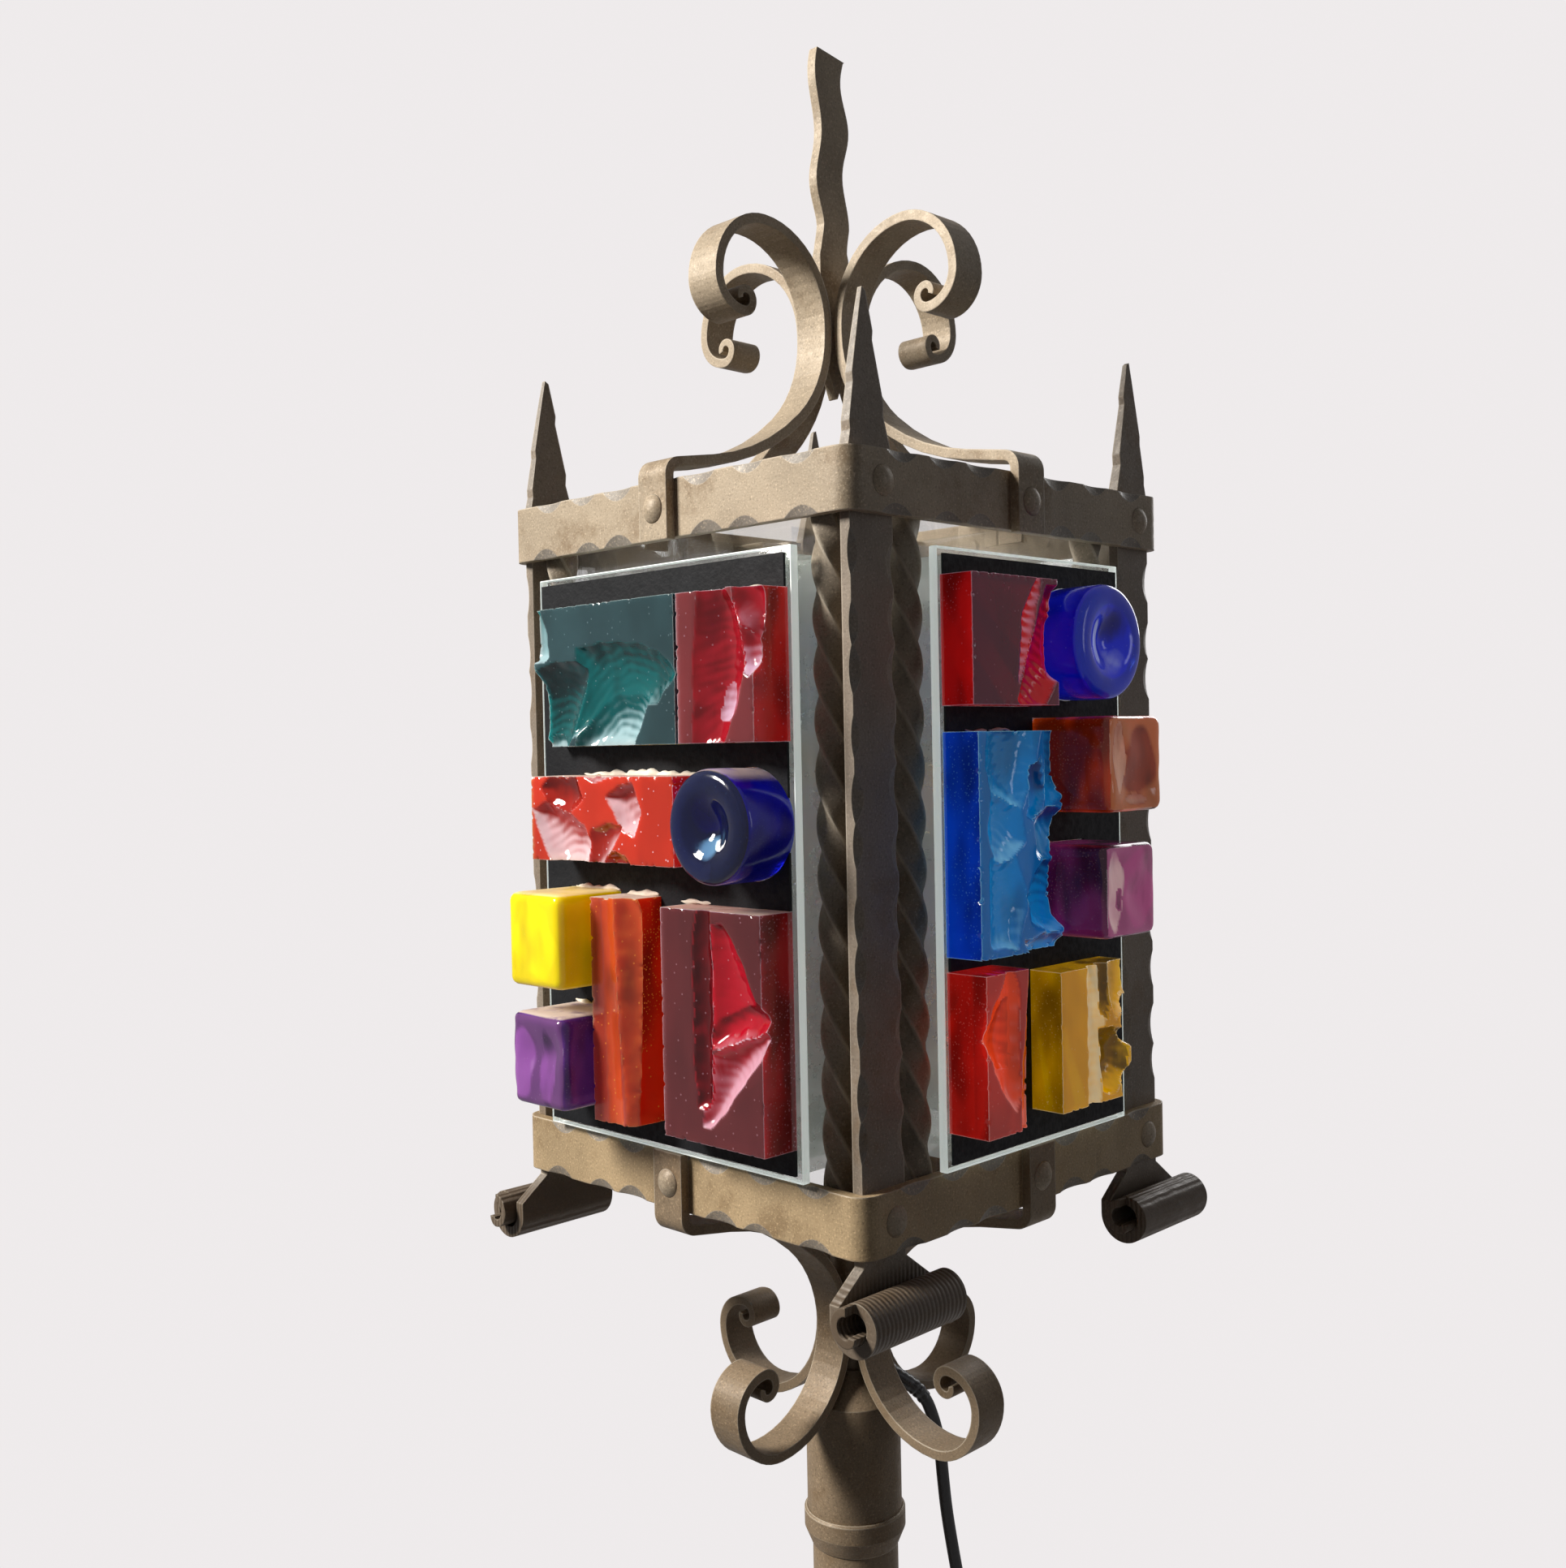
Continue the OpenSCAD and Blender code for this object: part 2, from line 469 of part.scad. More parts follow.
module collar() color(iron) translate([0, 0, lan_z + socket_z - collar_taper]) difference() {
    rotate_extrude($fn = 96) polygon([[0, 0], [pole_d / 2 + 0.5, 0], [tube_r + collar_t, collar_taper],
        [tube_r + collar_t, collar_h - 1], [tube_r + collar_t - 0.9, collar_h], [0, collar_h]]);
    translate([0, 0, -1]) cylinder(r = pole_d / 2 + 0.05, h = collar_h + 2, $fn = 96);
    translate([0, 0, collar_taper]) cylinder(r = tube_r + 0.05, h = collar_h, $fn = 96);
}
pole_z = 30;
module pole() color(iron) translate([0, 0, pole_z]) difference() {
    cylinder(d = pole_d, h = lan_z + cone_z - cone_h - 12 - pole_z, $fn = 96);
    translate([0, 0, -1]) cylinder(d = pole_d - 2 * pole_wall, h = lan_z, $fn = 96);
}

// ---- base ----
hub_t = 5.5;
foot_r = 16;
foot_cut = 0.4;                      // worn flat under a foot
hub_z = leg_r + 2 * foot_r + leg_t / 2 + 8;
leg_in = pole_d / 2 + hub_t + leg_t / 2;
leg_low = [[0, hub_h + 5], [leg_r, 90], [0, 15], [foot_r, -180], [foot_r * 0.7, -90], [foot_r * 0.5, -90],
    [foot_r * 0.38, -60]];
leg_high = [[0, 8], [24, -90], [17, -90], [10.5, -90], [7, -90], [5.4, -100]];
module hub() color(iron) translate([0, 0, hub_z - 3]) difference() {
    cylinder(r = pole_d / 2 + hub_t, h = hub_h, $fn = 96);
    translate([0, 0, -1]) cylinder(r = pole_d / 2 + 0.05, h = hub_h + 2, $fn = 96);
}
leg_top = 2 * foot_r + leg_t / 2 - foot_cut + leg_r + hub_h + 5;
module leg(k) color(iron) face(k) difference() {
    stand(0, leg_w) {
        bar(walk(leg_low, [leg_in, leg_top], -90), leg_t, leg_t * 0.6);
        translate([0, -eps]) bar(walk(leg_high, [leg_in, leg_top], 90), leg_t, leg_t * 0.6);
    }
    translate([-leg_w, -300, -10]) cube([2 * leg_w, 300, 10]);
}
module leg_1() leg(0);
module leg_2() leg(1);
module leg_3() leg(2);
module leg_4() leg(3);

// ---- lampholder and bulb ----
cap_r = 13.3;
cap_h = 37.5;                        // height of the bulb's cap
bulb_mid = 74;                       // middle of the bulb's globe above its contact
well_z = 18;                         // floor of the lampholder's well
module lampholder() color([0.08, 0.08, 0.08]) translate([0, 0, lan_z + holder_z]) difference() {
    rotate_extrude() polygon([[0, 0], [pipe_r + 1, 0], [pipe_r + 3, 4], [holder_r - 3, 14], [holder_r, 20],
        [holder_r, 52], [holder_r - 1.5, 55], [0, 55]]);
    translate([0, 0, well_z]) cylinder(r = cap_r + 0.5, h = 40);
    translate([0, 0, -1]) cylinder(r = cr + 0.5, h = 12);
}
module bulb() color([0.95, 0.94, 0.9, 0.9]) translate([0, 0, lan_z + holder_z + well_z]) rotate_extrude($fn = 72)
    polygon(concat([[0, 0], [5, 0], [cap_r, 5], [cap_r, cap_h], [cap_r + 1.4, cap_h + 5]],
        [for (a = [-44 : 8 : 84]) [bulb_r * cos(a), bulb_mid + bulb_r * sin(a)]], [[0, bulb_mid + bulb_r]]));

// ---- cord ----
cr = cord_d / 2;
entry_z = 8;                         // height of the cord where it enters the switch
function unit(v) = v / norm(v);
out_dir = [cos(bush_tilt) * sqrt(0.5), cos(bush_tilt) * sqrt(0.5), -sin(bush_tilt)];
out_p = [bush_rho * sqrt(0.5), bush_rho * sqrt(0.5), lan_z + bush_z];
// the cord's route to the switch: down the pipe and out through the bush, beside the pole, and over the floor
outlet_pts = concat([for (q = [[0, 16], [0.49, 12.1], [1.81, 8.8]]) [q[0], q[0], lan_z + bush_z + q[1]]],
    [for (d = [-11.8, 1, 14]) out_p + d * out_dir],
    [for (q = [[22.6, -113.7], [25.1, -118.5], [26.7, -124], [28.3, -132], [29.6, -142]]) [q[0], q[0], lan_z + q[1]]]);
hang_pts = [for (q = [[30.4, -156], [31.6, -174], [34.3, -200], [39, -240], [46, -330], [52, -520], [55, -760],
    [58, -960]]) [q[0], q[0], lan_z + q[1]]];
floor_pts = [[61, 61, 87], [64, 64, 44], [70, 69, 19], [83, 76.5, 5.2], [106, 81, 3.2], [125.3, 88.2, 3.2],
    [132.5, 105.5, 3.6], [127, 120.5, 5.4], [117.5, 127.8, 7]];
switch_x = 106;                      // the switch's end nearer the lamp
switch_y = 130;
mid_pts = [[36, 130, 7], [24, 130, 4.6], [6, 129.6, 3.6], [-30, 129.4, 3.6], [-60, 130, 4.3]];
coil_x = -88;
coil_y = 85;
coil_out = 45;                       // radius of the coil's outer turn
coil_pitch = 6.6;
coil_lift = 6.5;
coil_turns = 3.5;                    // in each of its two layers
coil_z = 4.3;
end_pts = [[-117, 127.6, 9.4], [-136, 114, 5.4], [-146, 88, 3.5], [-146, 40, 3.4], [-146, 0, 4.8], [-146, -14, 6.8]];
plug_y = -24;
plug_z = 7;
// the route's smooth line: a curve through the points, n steps between each two
function smooth(p, n) = concat([for (i = [0 : len(p) - 2], k = [0 : n - 1]) let (t = k / n,
    a = p[max(0, i - 1)], b = p[i], c = p[i + 1], d = p[min(len(p) - 1, i + 2)])
    0.5 * (2 * b + (c - a) * t + (2 * a - 5 * b + 4 * c - d) * t * t + (3 * b - a - 3 * c + d) * t * t * t)],
    [p[len(p) - 1]]);
function heading(p, i) = unit(p[min(len(p) - 1, i + 1)] - p[max(0, i - 1)]);
function across(v, t) = unit(v - (v * t) * t);
// a round tube along the points: each ring's first spoke follows the one before
module tube(p, r, n) {
    m = len(p);
    first = across(abs(heading(p, 0)[2]) < 0.9 ? [0, 0, 1] : [1, 0, 0], heading(p, 0));
    spokes = [for (i = 0, s = first; i < m; i = i + 1, s = i < m ? across(s, heading(p, i)) : s) s];
    polyhedron([for (i = [0 : m - 1], k = [0 : n - 1]) let (s = spokes[i], c = cross(heading(p, i), s))
            p[i] + r * (cos(360 * k / n) * s + sin(360 * k / n) * c)],
        concat([[for (k = [n - 1 : -1 : 0]) k]],
            [for (i = [0 : m - 2], k = [0 : n - 1]) let (a = i * n + k, b = i * n + (k + 1) % n) [a, b, b + n, a + n]],
            [[for (k = [0 : n - 1]) (m - 1) * n + k]]));
}
coil_angle = 360 * coil_turns;
function coil_p(a) = let (r = coil_out - coil_pitch * (coil_angle - abs(a - coil_angle)) / 360,
    f = min(1, max(0, (a - coil_angle + 90) / 180)))
    [coil_x + r * cos(90 + a), coil_y + r * sin(90 + a), coil_z + coil_lift * f];
coil_line = [for (a = [0 : 15 : 2 * coil_angle]) coil_p(a)];
coil_path = concat([coil_line[0] + [cord_d, 0, 0]], coil_line, [coil_line[len(coil_line) - 1] - [cord_d, 0, 0]]);
coil_gap = min([for (i = [0 : len(coil_line) - 1], j = [i + 6 : len(coil_line) - 1])
    if (j - i >= 6 && j < len(coil_line)) norm(coil_line[i] - coil_line[j])]) - cord_d;
function length_of(p) = [for (i = [1 : len(p) - 1]) norm(p[i] - p[i - 1])] * [for (i = [1 : len(p) - 1]) 1];
drop_line = concat([[0, 0, lan_z + holder_z + 10], [0, 0, lan_z + bush_z + 30]], smooth(outlet_pts, 2), hang_pts,
    smooth(concat(floor_pts, [[switch_x, switch_y, entry_z]]), 2));
mid_line = smooth(concat([[switch_x - switch_l, switch_y, entry_z]], mid_pts, [coil_path[0]]), 2);
end_line = smooth(concat([coil_path[len(coil_path) - 1]], end_pts, [[-146, plug_y, plug_z]]), 2);
echo(coil_gap = coil_gap, drop = length_of(drop_line), middle = length_of(mid_line),
    coil = length_of(coil_path), last = length_of(end_line), rings = len(drop_line) + len(mid_line) + len(end_line));
black = [0.03, 0.03, 0.03];
module cord() color(black) {
    tube(drop_line, cr, 8);
    tube(mid_line, cr, 8);
    tube(end_line, cr, 8);
}
module cord_coil() color(black) tube(coil_path, cr, 6);
tie_in = coil_out - coil_pitch * coil_turns - cr - 0.3;
tie_out = coil_out - coil_pitch / 2 + cr + 0.3;
tie_top = coil_z + coil_lift + cr + 0.3;
module cord_tie() color(black) translate([coil_x, coil_y, 0]) rotate([0, 0, -90]) translate([0, 3, 0])
    rotate([90, 0, 0]) linear_extrude(6) difference() {
        translate([tie_in - 1, 0.1]) square([tie_out - tie_in + 2, tie_top + 0.9]);
        translate([tie_in, coil_z - cr - 0.1]) square([tie_out - tie_in, tie_top - coil_z + cr + 0.1]);
    }
switch_w = 28;
switch_h = 19;
button_r = 9;
button_gap = 0.35;
button_h = 9;
button_deep = 5;
module switch_body() color(black) difference() {
    translate([switch_x - switch_l, switch_y - switch_w / 2, 0]) intersection() {
        linear_extrude(switch_h) rounded(switch_l, switch_w, 10);
        rotate([90, 0, 90]) linear_extrude(switch_l) union() {
            rounded(switch_w, switch_h, 4);
            square([switch_w, switch_h / 2]);
        }
    }
    translate([switch_x - switch_l / 2, switch_y, switch_h - button_deep - button_travel - 0.5])
        cylinder(r = button_r + button_gap, h = 20);
}
module switch_button() color([0.1, 0.1, 0.1]) translate([switch_x - switch_l / 2, switch_y, switch_h - button_deep])
    rotate_extrude() polygon([[0, 0], [button_r, 0], [button_r, button_h - 1.5], [button_r - 1.5, button_h - 0.3],
        [0, button_h]]);
module plug_body() color(black) translate([-146, plug_y, plug_z]) rotate([90, 0, 0]) intersection() {
    translate([-17, -plug_z, 0]) cube([34, 2 * plug_z, 36]);
    rotate([90, 0, 0]) linear_extrude(2 * plug_z, center = true) polygon([[-6, 0], [6, 0], [9, 6], [16, 18], [17, 30], [15, 36],
        [-15, 36], [-17, 30], [-16, 18], [-9, 6]]);
    linear_extrude(36) union() {
        translate([-17 + plug_z, -plug_z]) square([34 - 2 * plug_z, 2 * plug_z]);
        for (s = [-1, 1]) translate([s * (17 - plug_z), 0]) circle(plug_z);
    }
}
module plug_pins() color([0.8, 0.7, 0.4]) for (s = [-1, 1]) translate([-146 + s * 9.3, plug_y - 36, plug_z])
    rotate([90, 0, 0]) {
        cylinder(r = 2, h = 17);
        translate([0, 0, 17]) cylinder(r1 = 2, r2 = 1.2, h = 2);
    }

upper_band();
lower_band();
corner_post_1();
corner_post_2();
corner_post_3();
corner_post_4();
twist_bars();
top_scroll_1();
top_scroll_2();
top_scroll_3();
top_scroll_4();
bottom_scroll_1();
bottom_scroll_2();
bottom_scroll_3();
bottom_scroll_4();
finial();
rivets();
glass_clips();
glass_panes();
spacer_frames();
block_plates();
grout();
front_teal_slab();
front_red_slab();
front_orange_slab();
front_blue_roundel();
front_yellow_cube();
front_purple_cube();
front_orange_bar();
front_darkred_slab();
side_red_slab();
side_blue_roundel();
side_blue_slab();
side_amber_cube();
side_pink_cube();
side_red_block();
side_olive_block();
rear_red_blocks();
rear_blue_blocks();
rear_amber_blocks();
core_pipe();
socket_tube();
collar();
pole();
hub();
leg_1();
leg_2();
leg_3();
leg_4();
lampholder();
bulb();
cord_bush();
cord();
cord_coil();
cord_tie();
switch_body();
switch_button();
plug_body();
plug_pins();
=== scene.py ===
# %% [markdown]
# # Lantern floor lamp: the looks
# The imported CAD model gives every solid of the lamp, in metres. This notebook gives those solids the skin of the
# real thing: forged and painted iron, thick glass broken with a hammer, cast cubes, ground glass strips and a
# rubber cord. Most forged parts keep their CAD shape and only take a finish. A piece whose surface is the point of
# it, such as broken glass, is modelled anew in the space of its solid.

# %% Load the fixed frame
import bpy
import bmesh
import math
from mathutils import Matrix, Vector, noise


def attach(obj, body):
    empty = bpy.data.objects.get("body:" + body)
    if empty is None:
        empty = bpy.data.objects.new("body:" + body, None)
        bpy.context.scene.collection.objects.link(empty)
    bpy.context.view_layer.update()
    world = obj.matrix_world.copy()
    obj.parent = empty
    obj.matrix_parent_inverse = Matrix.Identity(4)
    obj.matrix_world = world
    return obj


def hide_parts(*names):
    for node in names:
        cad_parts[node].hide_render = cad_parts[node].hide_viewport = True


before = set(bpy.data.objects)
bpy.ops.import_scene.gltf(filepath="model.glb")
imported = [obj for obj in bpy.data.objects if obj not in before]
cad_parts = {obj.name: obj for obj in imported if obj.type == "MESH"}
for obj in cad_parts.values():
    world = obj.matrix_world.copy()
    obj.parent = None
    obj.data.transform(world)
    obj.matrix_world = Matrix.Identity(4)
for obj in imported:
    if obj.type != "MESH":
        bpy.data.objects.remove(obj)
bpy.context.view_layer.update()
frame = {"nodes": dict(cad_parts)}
MM = 0.001
LANTERN_FOOT = 1172            # millimetres from the floor to the lower band
LANTERN = LANTERN_FOOT * MM
PLATE = 114.24 * MM            # front of the block plates, from the lantern's axis

# %% [markdown]
# ## Camera
# The photograph was taken from a little above the lantern's middle, close enough for strong perspective. The
# place, turn and lens were solved from the corners of the two bands, so they are written down as numbers. The
# camera's axes are put straight into its matrix: right, up, and backwards.

# %% Camera
PLACE = Vector((0.51128, -0.54913, 1.37127))
AZIMUTH, SWING, TIP, ROLL = 42.956, 2.121, -1.349, -1.165      # degrees
FOCAL, FRAME_WIDTH = 1924.208, 1932                            # in the photograph's pixels
SENSOR = 36                                                    # millimetres
turn, tip, roll = math.radians(AZIMUTH + SWING), math.radians(TIP), math.radians(ROLL)
forward = Vector((-math.sin(turn) * math.cos(tip), math.cos(turn) * math.cos(tip), math.sin(tip)))
level = forward.cross(Vector((0, 0, 1))).normalized()
above = level.cross(forward)
right = level * math.cos(roll) + above * math.sin(roll)
up = above * math.cos(roll) - level * math.sin(roll)
camera = bpy.data.objects.new("camera", bpy.data.cameras.new("camera"))
bpy.context.scene.collection.objects.link(camera)
camera.matrix_world = Matrix((
    (right.x, up.x, -forward.x, PLACE.x), (right.y, up.y, -forward.y, PLACE.y),
    (right.z, up.z, -forward.z, PLACE.z), (0, 0, 0, 1)))
camera.data.sensor_width = SENSOR
camera.data.lens = SENSOR * FOCAL / FRAME_WIDTH
camera.data.clip_start, camera.data.clip_end = 0.01, 50
bpy.context.scene.camera = camera
bpy.context.scene.view_settings.view_transform = "Standard"
print("camera at", [round(v, 3) for v in camera.location], "lens", round(camera.data.lens, 2))

# %% [markdown]
# ## Shader writing
# A finish is a small graph of nodes, and long graphs are easier to read as formulas. `Wire` wraps a socket, so
# that `1 - mask * 0.5` adds the Math nodes by itself. `Finish` holds one material, and its `node` method makes
# any other node from its settings and the values or links of its sockets.

# %% Wire and Finish
class Wire:
    def __init__(self, tree, socket):
        self.tree, self.socket = tree, socket

    def math(self, operation, *values):
        made = self.tree.nodes.new("ShaderNodeMath")
        made.operation = operation
        for socket, value in zip(made.inputs, values):
            plug(self.tree, socket, value)
        return Wire(self.tree, made.outputs[0])

    def __add__(self, other):
        return self.math("ADD", self, other)

    def __radd__(self, other):
        return self.math("ADD", other, self)

    def __sub__(self, other):
        return self.math("SUBTRACT", self, other)

    def __rsub__(self, other):
        return self.math("SUBTRACT", other, self)

    def __mul__(self, other):
        return self.math("MULTIPLY", self, other)

    def __rmul__(self, other):
        return self.math("MULTIPLY", other, self)

    def clip(self):
        return self.math("MINIMUM", self.math("MAXIMUM", self, 0.0), 1.0)


def plug(tree, socket, value):
    if isinstance(value, Wire):
        tree.links.new(value.socket, socket)
    elif isinstance(value, (tuple, list)) and len(value) == 3 and socket.type == "RGBA":
        socket.default_value = (*value, 1)
    else:
        socket.default_value = value


class Finish:
    def __init__(self, name):
        self.material = bpy.data.materials.new(name)
        self.material.use_nodes = True
        self.tree = self.material.node_tree
        self.tree.nodes.clear()

    def node(self, kind, settings=None, out=0, **values):
        made = self.tree.nodes.new("ShaderNode" + kind)
        for key, value in (settings or {}).items():
            if key == "stops":
                ramp = made.color_ramp.elements
                while len(ramp) < len(value):
                    ramp.new(0.5)
                for stop, (place, colour) in zip(ramp, value):
                    stop.position, stop.color = place, (*colour, 1)
            else:
                setattr(made, key, value)
        for key, value in values.items():
            wanted = key.replace("_", " ").lower()
            found = [s for s in made.inputs if s.enabled and s.name.lower() == wanted]
            plug(self.tree, found[0] if found else made.inputs[int(key.strip("i"))], value)
        return Wire(self.tree, made.outputs[out])

    def place(self, scale=(1, 1, 1), turn=(0, 0, 0)):
        spot = self.node("TexCoord", out=3)
        return self.node("Mapping", Vector=spot, Scale=scale, Rotation=turn)

    def noise(self, spot, scale, detail=3.0, rough=0.55, bend=0.0):
        return self.node("TexNoise", Vector=spot, Scale=scale, Detail=detail, Roughness=rough, Distortion=bend)

    def cells(self, spot, scale, feature="F1"):
        return self.node("TexVoronoi", {"feature": feature}, Vector=spot, Scale=scale)

    def band(self, value, low, high, to_low=0.0, to_high=1.0):
        return self.node("MapRange", {"interpolation_type": "SMOOTHSTEP"}, i0=value, i1=low, i2=high, i3=to_low,
                         i4=to_high)

    def mix(self, factor, a, b, blend="MIX"):
        return self.node("Mix", {"data_type": "RGBA", "blend_type": blend}, out=2, i0=factor, i6=a, i7=b)

    def bump(self, height, strength, distance, normal=None):
        more = {"Normal": normal} if normal else {}
        return self.node("Bump", Strength=strength, Distance=distance, Height=height, **more)

    def surface(self, **values):
        shader = self.node("BsdfPrincipled", **values)
        end = self.tree.nodes.new("ShaderNodeOutputMaterial")
        self.tree.links.new(shader.socket, end.inputs[0])
        return self.material


print("shader tools ready")

# %% [markdown]
# ## Light
# A plain soft studio: one large lamp high on the left, where the sun stood in the photograph, a weak tall one on the
# right, a broad one behind, and a grey world. The world shows near white to the camera and through glass, weaker in
# gloss, and lights the lamp only softly. The floor is a pale disc that fades out towards its rim.

# %% Lamps, world and floor
def softbox(name, place, aim, wide, tall, power, colour):
    lamp = bpy.data.objects.new(name, bpy.data.lights.new(name, "AREA"))
    lamp.data.shape, lamp.data.size, lamp.data.size_y = "RECTANGLE", wide, tall
    lamp.data.energy, lamp.data.color = power, colour
    lamp.location = place
    lamp.rotation_mode = "QUATERNION"
    lamp.rotation_quaternion = (Vector(aim) - Vector(place)).to_track_quat("-Z", "Y")
    bpy.context.scene.collection.objects.link(lamp)


softbox("key_light", (-1.15, -1.9, 2.75), (0, 0, 1.3), 0.7, 0.7, 126, (1, 0.96, 0.9))
softbox("fill_light", (1.7, 0.75, 1.75), (0, 0, 1.3), 0.28, 0.8, 1.7, (0.88, 0.92, 1))
softbox("back_light", (-0.35, 2.4, 2.2), (0, 0, 1.1), 1.2, 1.2, 20, (1, 1, 1))
world = bpy.data.worlds.new("studio")
bpy.context.scene.world = world
world.use_nodes = True
sky = world.node_tree
sky.nodes.clear()
rays = sky.nodes.new("ShaderNodeLightPath")
BACKDROP = (0.86, 0.83, 0.835)
AMBIENT, IN_GLOSS = 0.045, 0.4       # the world's strength as light, and in mirror images
seen = Wire(sky, rays.outputs["Is Camera Ray"]) + IN_GLOSS * Wire(sky, rays.outputs["Is Glossy Ray"]) \
    + Wire(sky, rays.outputs["Is Transmission Ray"])
lit = sky.nodes.new("ShaderNodeBackground")
lit.inputs[0].default_value = (*BACKDROP, 1)
plug(sky, lit.inputs[1], AMBIENT + (1 - AMBIENT) * seen.clip())
end = sky.nodes.new("ShaderNodeOutputWorld")
sky.links.new(lit.outputs[0], end.inputs[0])

FLOOR, FADE_FROM, FADE_TO = 1.2, 0.2, 1.0      # radii in metres
bm = bmesh.new()
bmesh.ops.create_circle(bm, cap_ends=True, segments=96, radius=FLOOR)
floor_mesh = bpy.data.meshes.new("floor")
bm.to_mesh(floor_mesh)
bm.free()
floor = bpy.data.objects.new("floor", floor_mesh)
bpy.context.scene.collection.objects.link(floor)
pale = Finish("pale_floor")
spot = pale.place()
away = pale.node("VectorMath", {"operation": "LENGTH"}, out=1, Vector=spot)
floor_mesh.materials.append(pale.surface(
    Base_Color=(0.78, 0.765, 0.76), Roughness=0.8, Alpha=pale.band(away, FADE_FROM, FADE_TO, 1.0, 0.0)))
print("three lamps, world and floor made")

# %% [markdown]
# ## Forged iron
# The frame is mild steel bar worked at the forge and painted a satin bronze grey. Close up the paint is
# speckled, thin and paler on edges worn by hands, and the flat faces keep the shallow planishing of the hammer.
# The Bevel node finds the edges: where its rounded normal leaves the face's own, the paint is worn. The half-moons
# along the bars' edges were struck last, and their tilted faces are painted a darker grey as painted shade. Rust
# comes through in soft brown patches. The pole and the scrolls under the lantern are a darker brown than the bands.
# The posts and the twisted bars are painted darker too, as painted shade, and the pale strip on the ridges of the
# twisted bars is wider, partly wear and partly a painted highlight. The lower band is painted lighter and more
# golden, partly its own tone and partly painted light. The rolls under the lantern carry fine rings from the tool
# they were rolled on, so those get a wave along their axis.

# %% Iron finish
# STRUCK_SHADE is a painted shade for the tilted faces of the half-moons.
PAINT, WORN_AND_SHEEN, STRUCK_SHADE, RUST = (0.42, 0.34, 0.245), (0.7, 0.62, 0.5), (0.22, 0.2, 0.178), (0.17, 0.105, 0.05)
# LOW_PAINT_LIGHTENED is lighter and more golden: partly the lower band's own tone, partly painted light.
LOW_PAINT_LIGHTENED, POST_PAINT_SHADED = (0.46, 0.34, 0.2), (0.26, 0.215, 0.17)
# TWIST_PAINT_SHADED is darker: painted shade on the twisted bars.
TWIST_PAINT_SHADED, POLE_PAINT = (0.27, 0.225, 0.17), (0.27, 0.2, 0.13)
SOOT = (0.1, 0.07, 0.045)
ROLL_TOP, ROLL_FULL = 1.168, 1.16        # heights between which the rings of the rolls set in


def iron_finish(name, struck=0.0, rings=None, paint=PAINT, rub_and_sheen=0.001):
    f = Finish(name)
    spot = f.place()
    broad = f.noise(spot, 18, 3)
    speck = f.noise(spot, 1000, 2, 0.7)
    grit = f.noise(spot, 280, 4, 0.65)
    rounded = f.node("Bevel", {"samples": 4}, Radius=rub_and_sheen)
    face = f.node("NewGeometry", out=1)
    edge = 1 - f.node("VectorMath", {"operation": "DOT_PRODUCT"}, out=1, i0=rounded, i1=face)
    edge = f.band(edge * 9 + grit * 0.5, 0.35, 1.1)
    colour = f.mix(f.band(broad, 0.35, 0.7), paint, [c * 0.75 for c in paint])
    colour = f.mix(f.band(f.noise(spot, 24, 5, 0.7), 0.5, 0.72, 0, 0.7), colour, RUST)
    # Painted shade: faces tilted between upright and level are mixed towards STRUCK_SHADE.
    if struck:
        level = f.node("SeparateXYZ", out=2, Vector=face)
        slope = level.math("ABSOLUTE", level)
        tilt_shade = f.band(slope, 0.08, 0.16) * f.band(slope, 0.93, 0.8)
        colour = f.mix(tilt_shade * struck, colour, STRUCK_SHADE)
    colour = f.mix(f.band(speck, 0.55, 0.72, 0, 0.5), colour, [min(1, c * 1.9) for c in paint])
    colour = f.mix(f.band(speck, 0.44, 0.3, 0, 0.6), colour, [c * 0.35 for c in paint])
    # Paler worn edges. Where the strip is wider, as on the twisted bars, it is partly a painted highlight.
    colour = f.mix(edge * 0.7, colour, WORN_AND_SHEEN)
    soft = f.bump(f.cells(spot, 62, "SMOOTH_F1"), 0.4, 0.0012, rounded)
    if rings:
        wave = f.node("TexWave", {"bands_direction": rings}, out=1, Vector=spot, Scale=130, Distortion=1.5,
                      Detail=2)
        low = f.band(f.node("SeparateXYZ", out=2, Vector=spot), ROLL_TOP, ROLL_FULL)
        colour = f.mix(low * f.band(wave + grit, 0.5, 1.2, 0.9, 0.6), colour, SOOT)
        soft = f.bump(wave * low, 0.5, 0.0007, soft)
    fine = f.bump(grit * 0.7 + speck * 0.5, 0.4, 0.0004, soft)
    return f.surface(Base_Color=colour, Metallic=0.05, Roughness=f.band(grit, 0.25, 0.8, 0.38, 0.6),
                     Normal=fine, Specular_IOR_Level=0.25)


iron = iron_finish("forged_iron")
bar_iron = iron_finish("bar_iron", struck=0.85)
low_iron_lightened = iron_finish("low_bar_iron_lightened", struck=0.85, paint=LOW_PAINT_LIGHTENED)
# The posts' darker paint is painted shade.
shaded_post_irons = [iron_finish("post_iron_" + axis.lower(), struck=0.6, rings=axis, paint=POST_PAINT_SHADED) for axis in "XY"]
# The twisted bars: darker paint as painted shade, and a wider pale strip on the ridges, partly a painted highlight.
shaded_twist_iron = iron_finish("shaded_twist_iron", paint=TWIST_PAINT_SHADED, rub_and_sheen=0.003)
pole_iron = iron_finish("pole_iron", paint=POLE_PAINT)
print("iron:", len(iron.node_tree.nodes), "nodes")

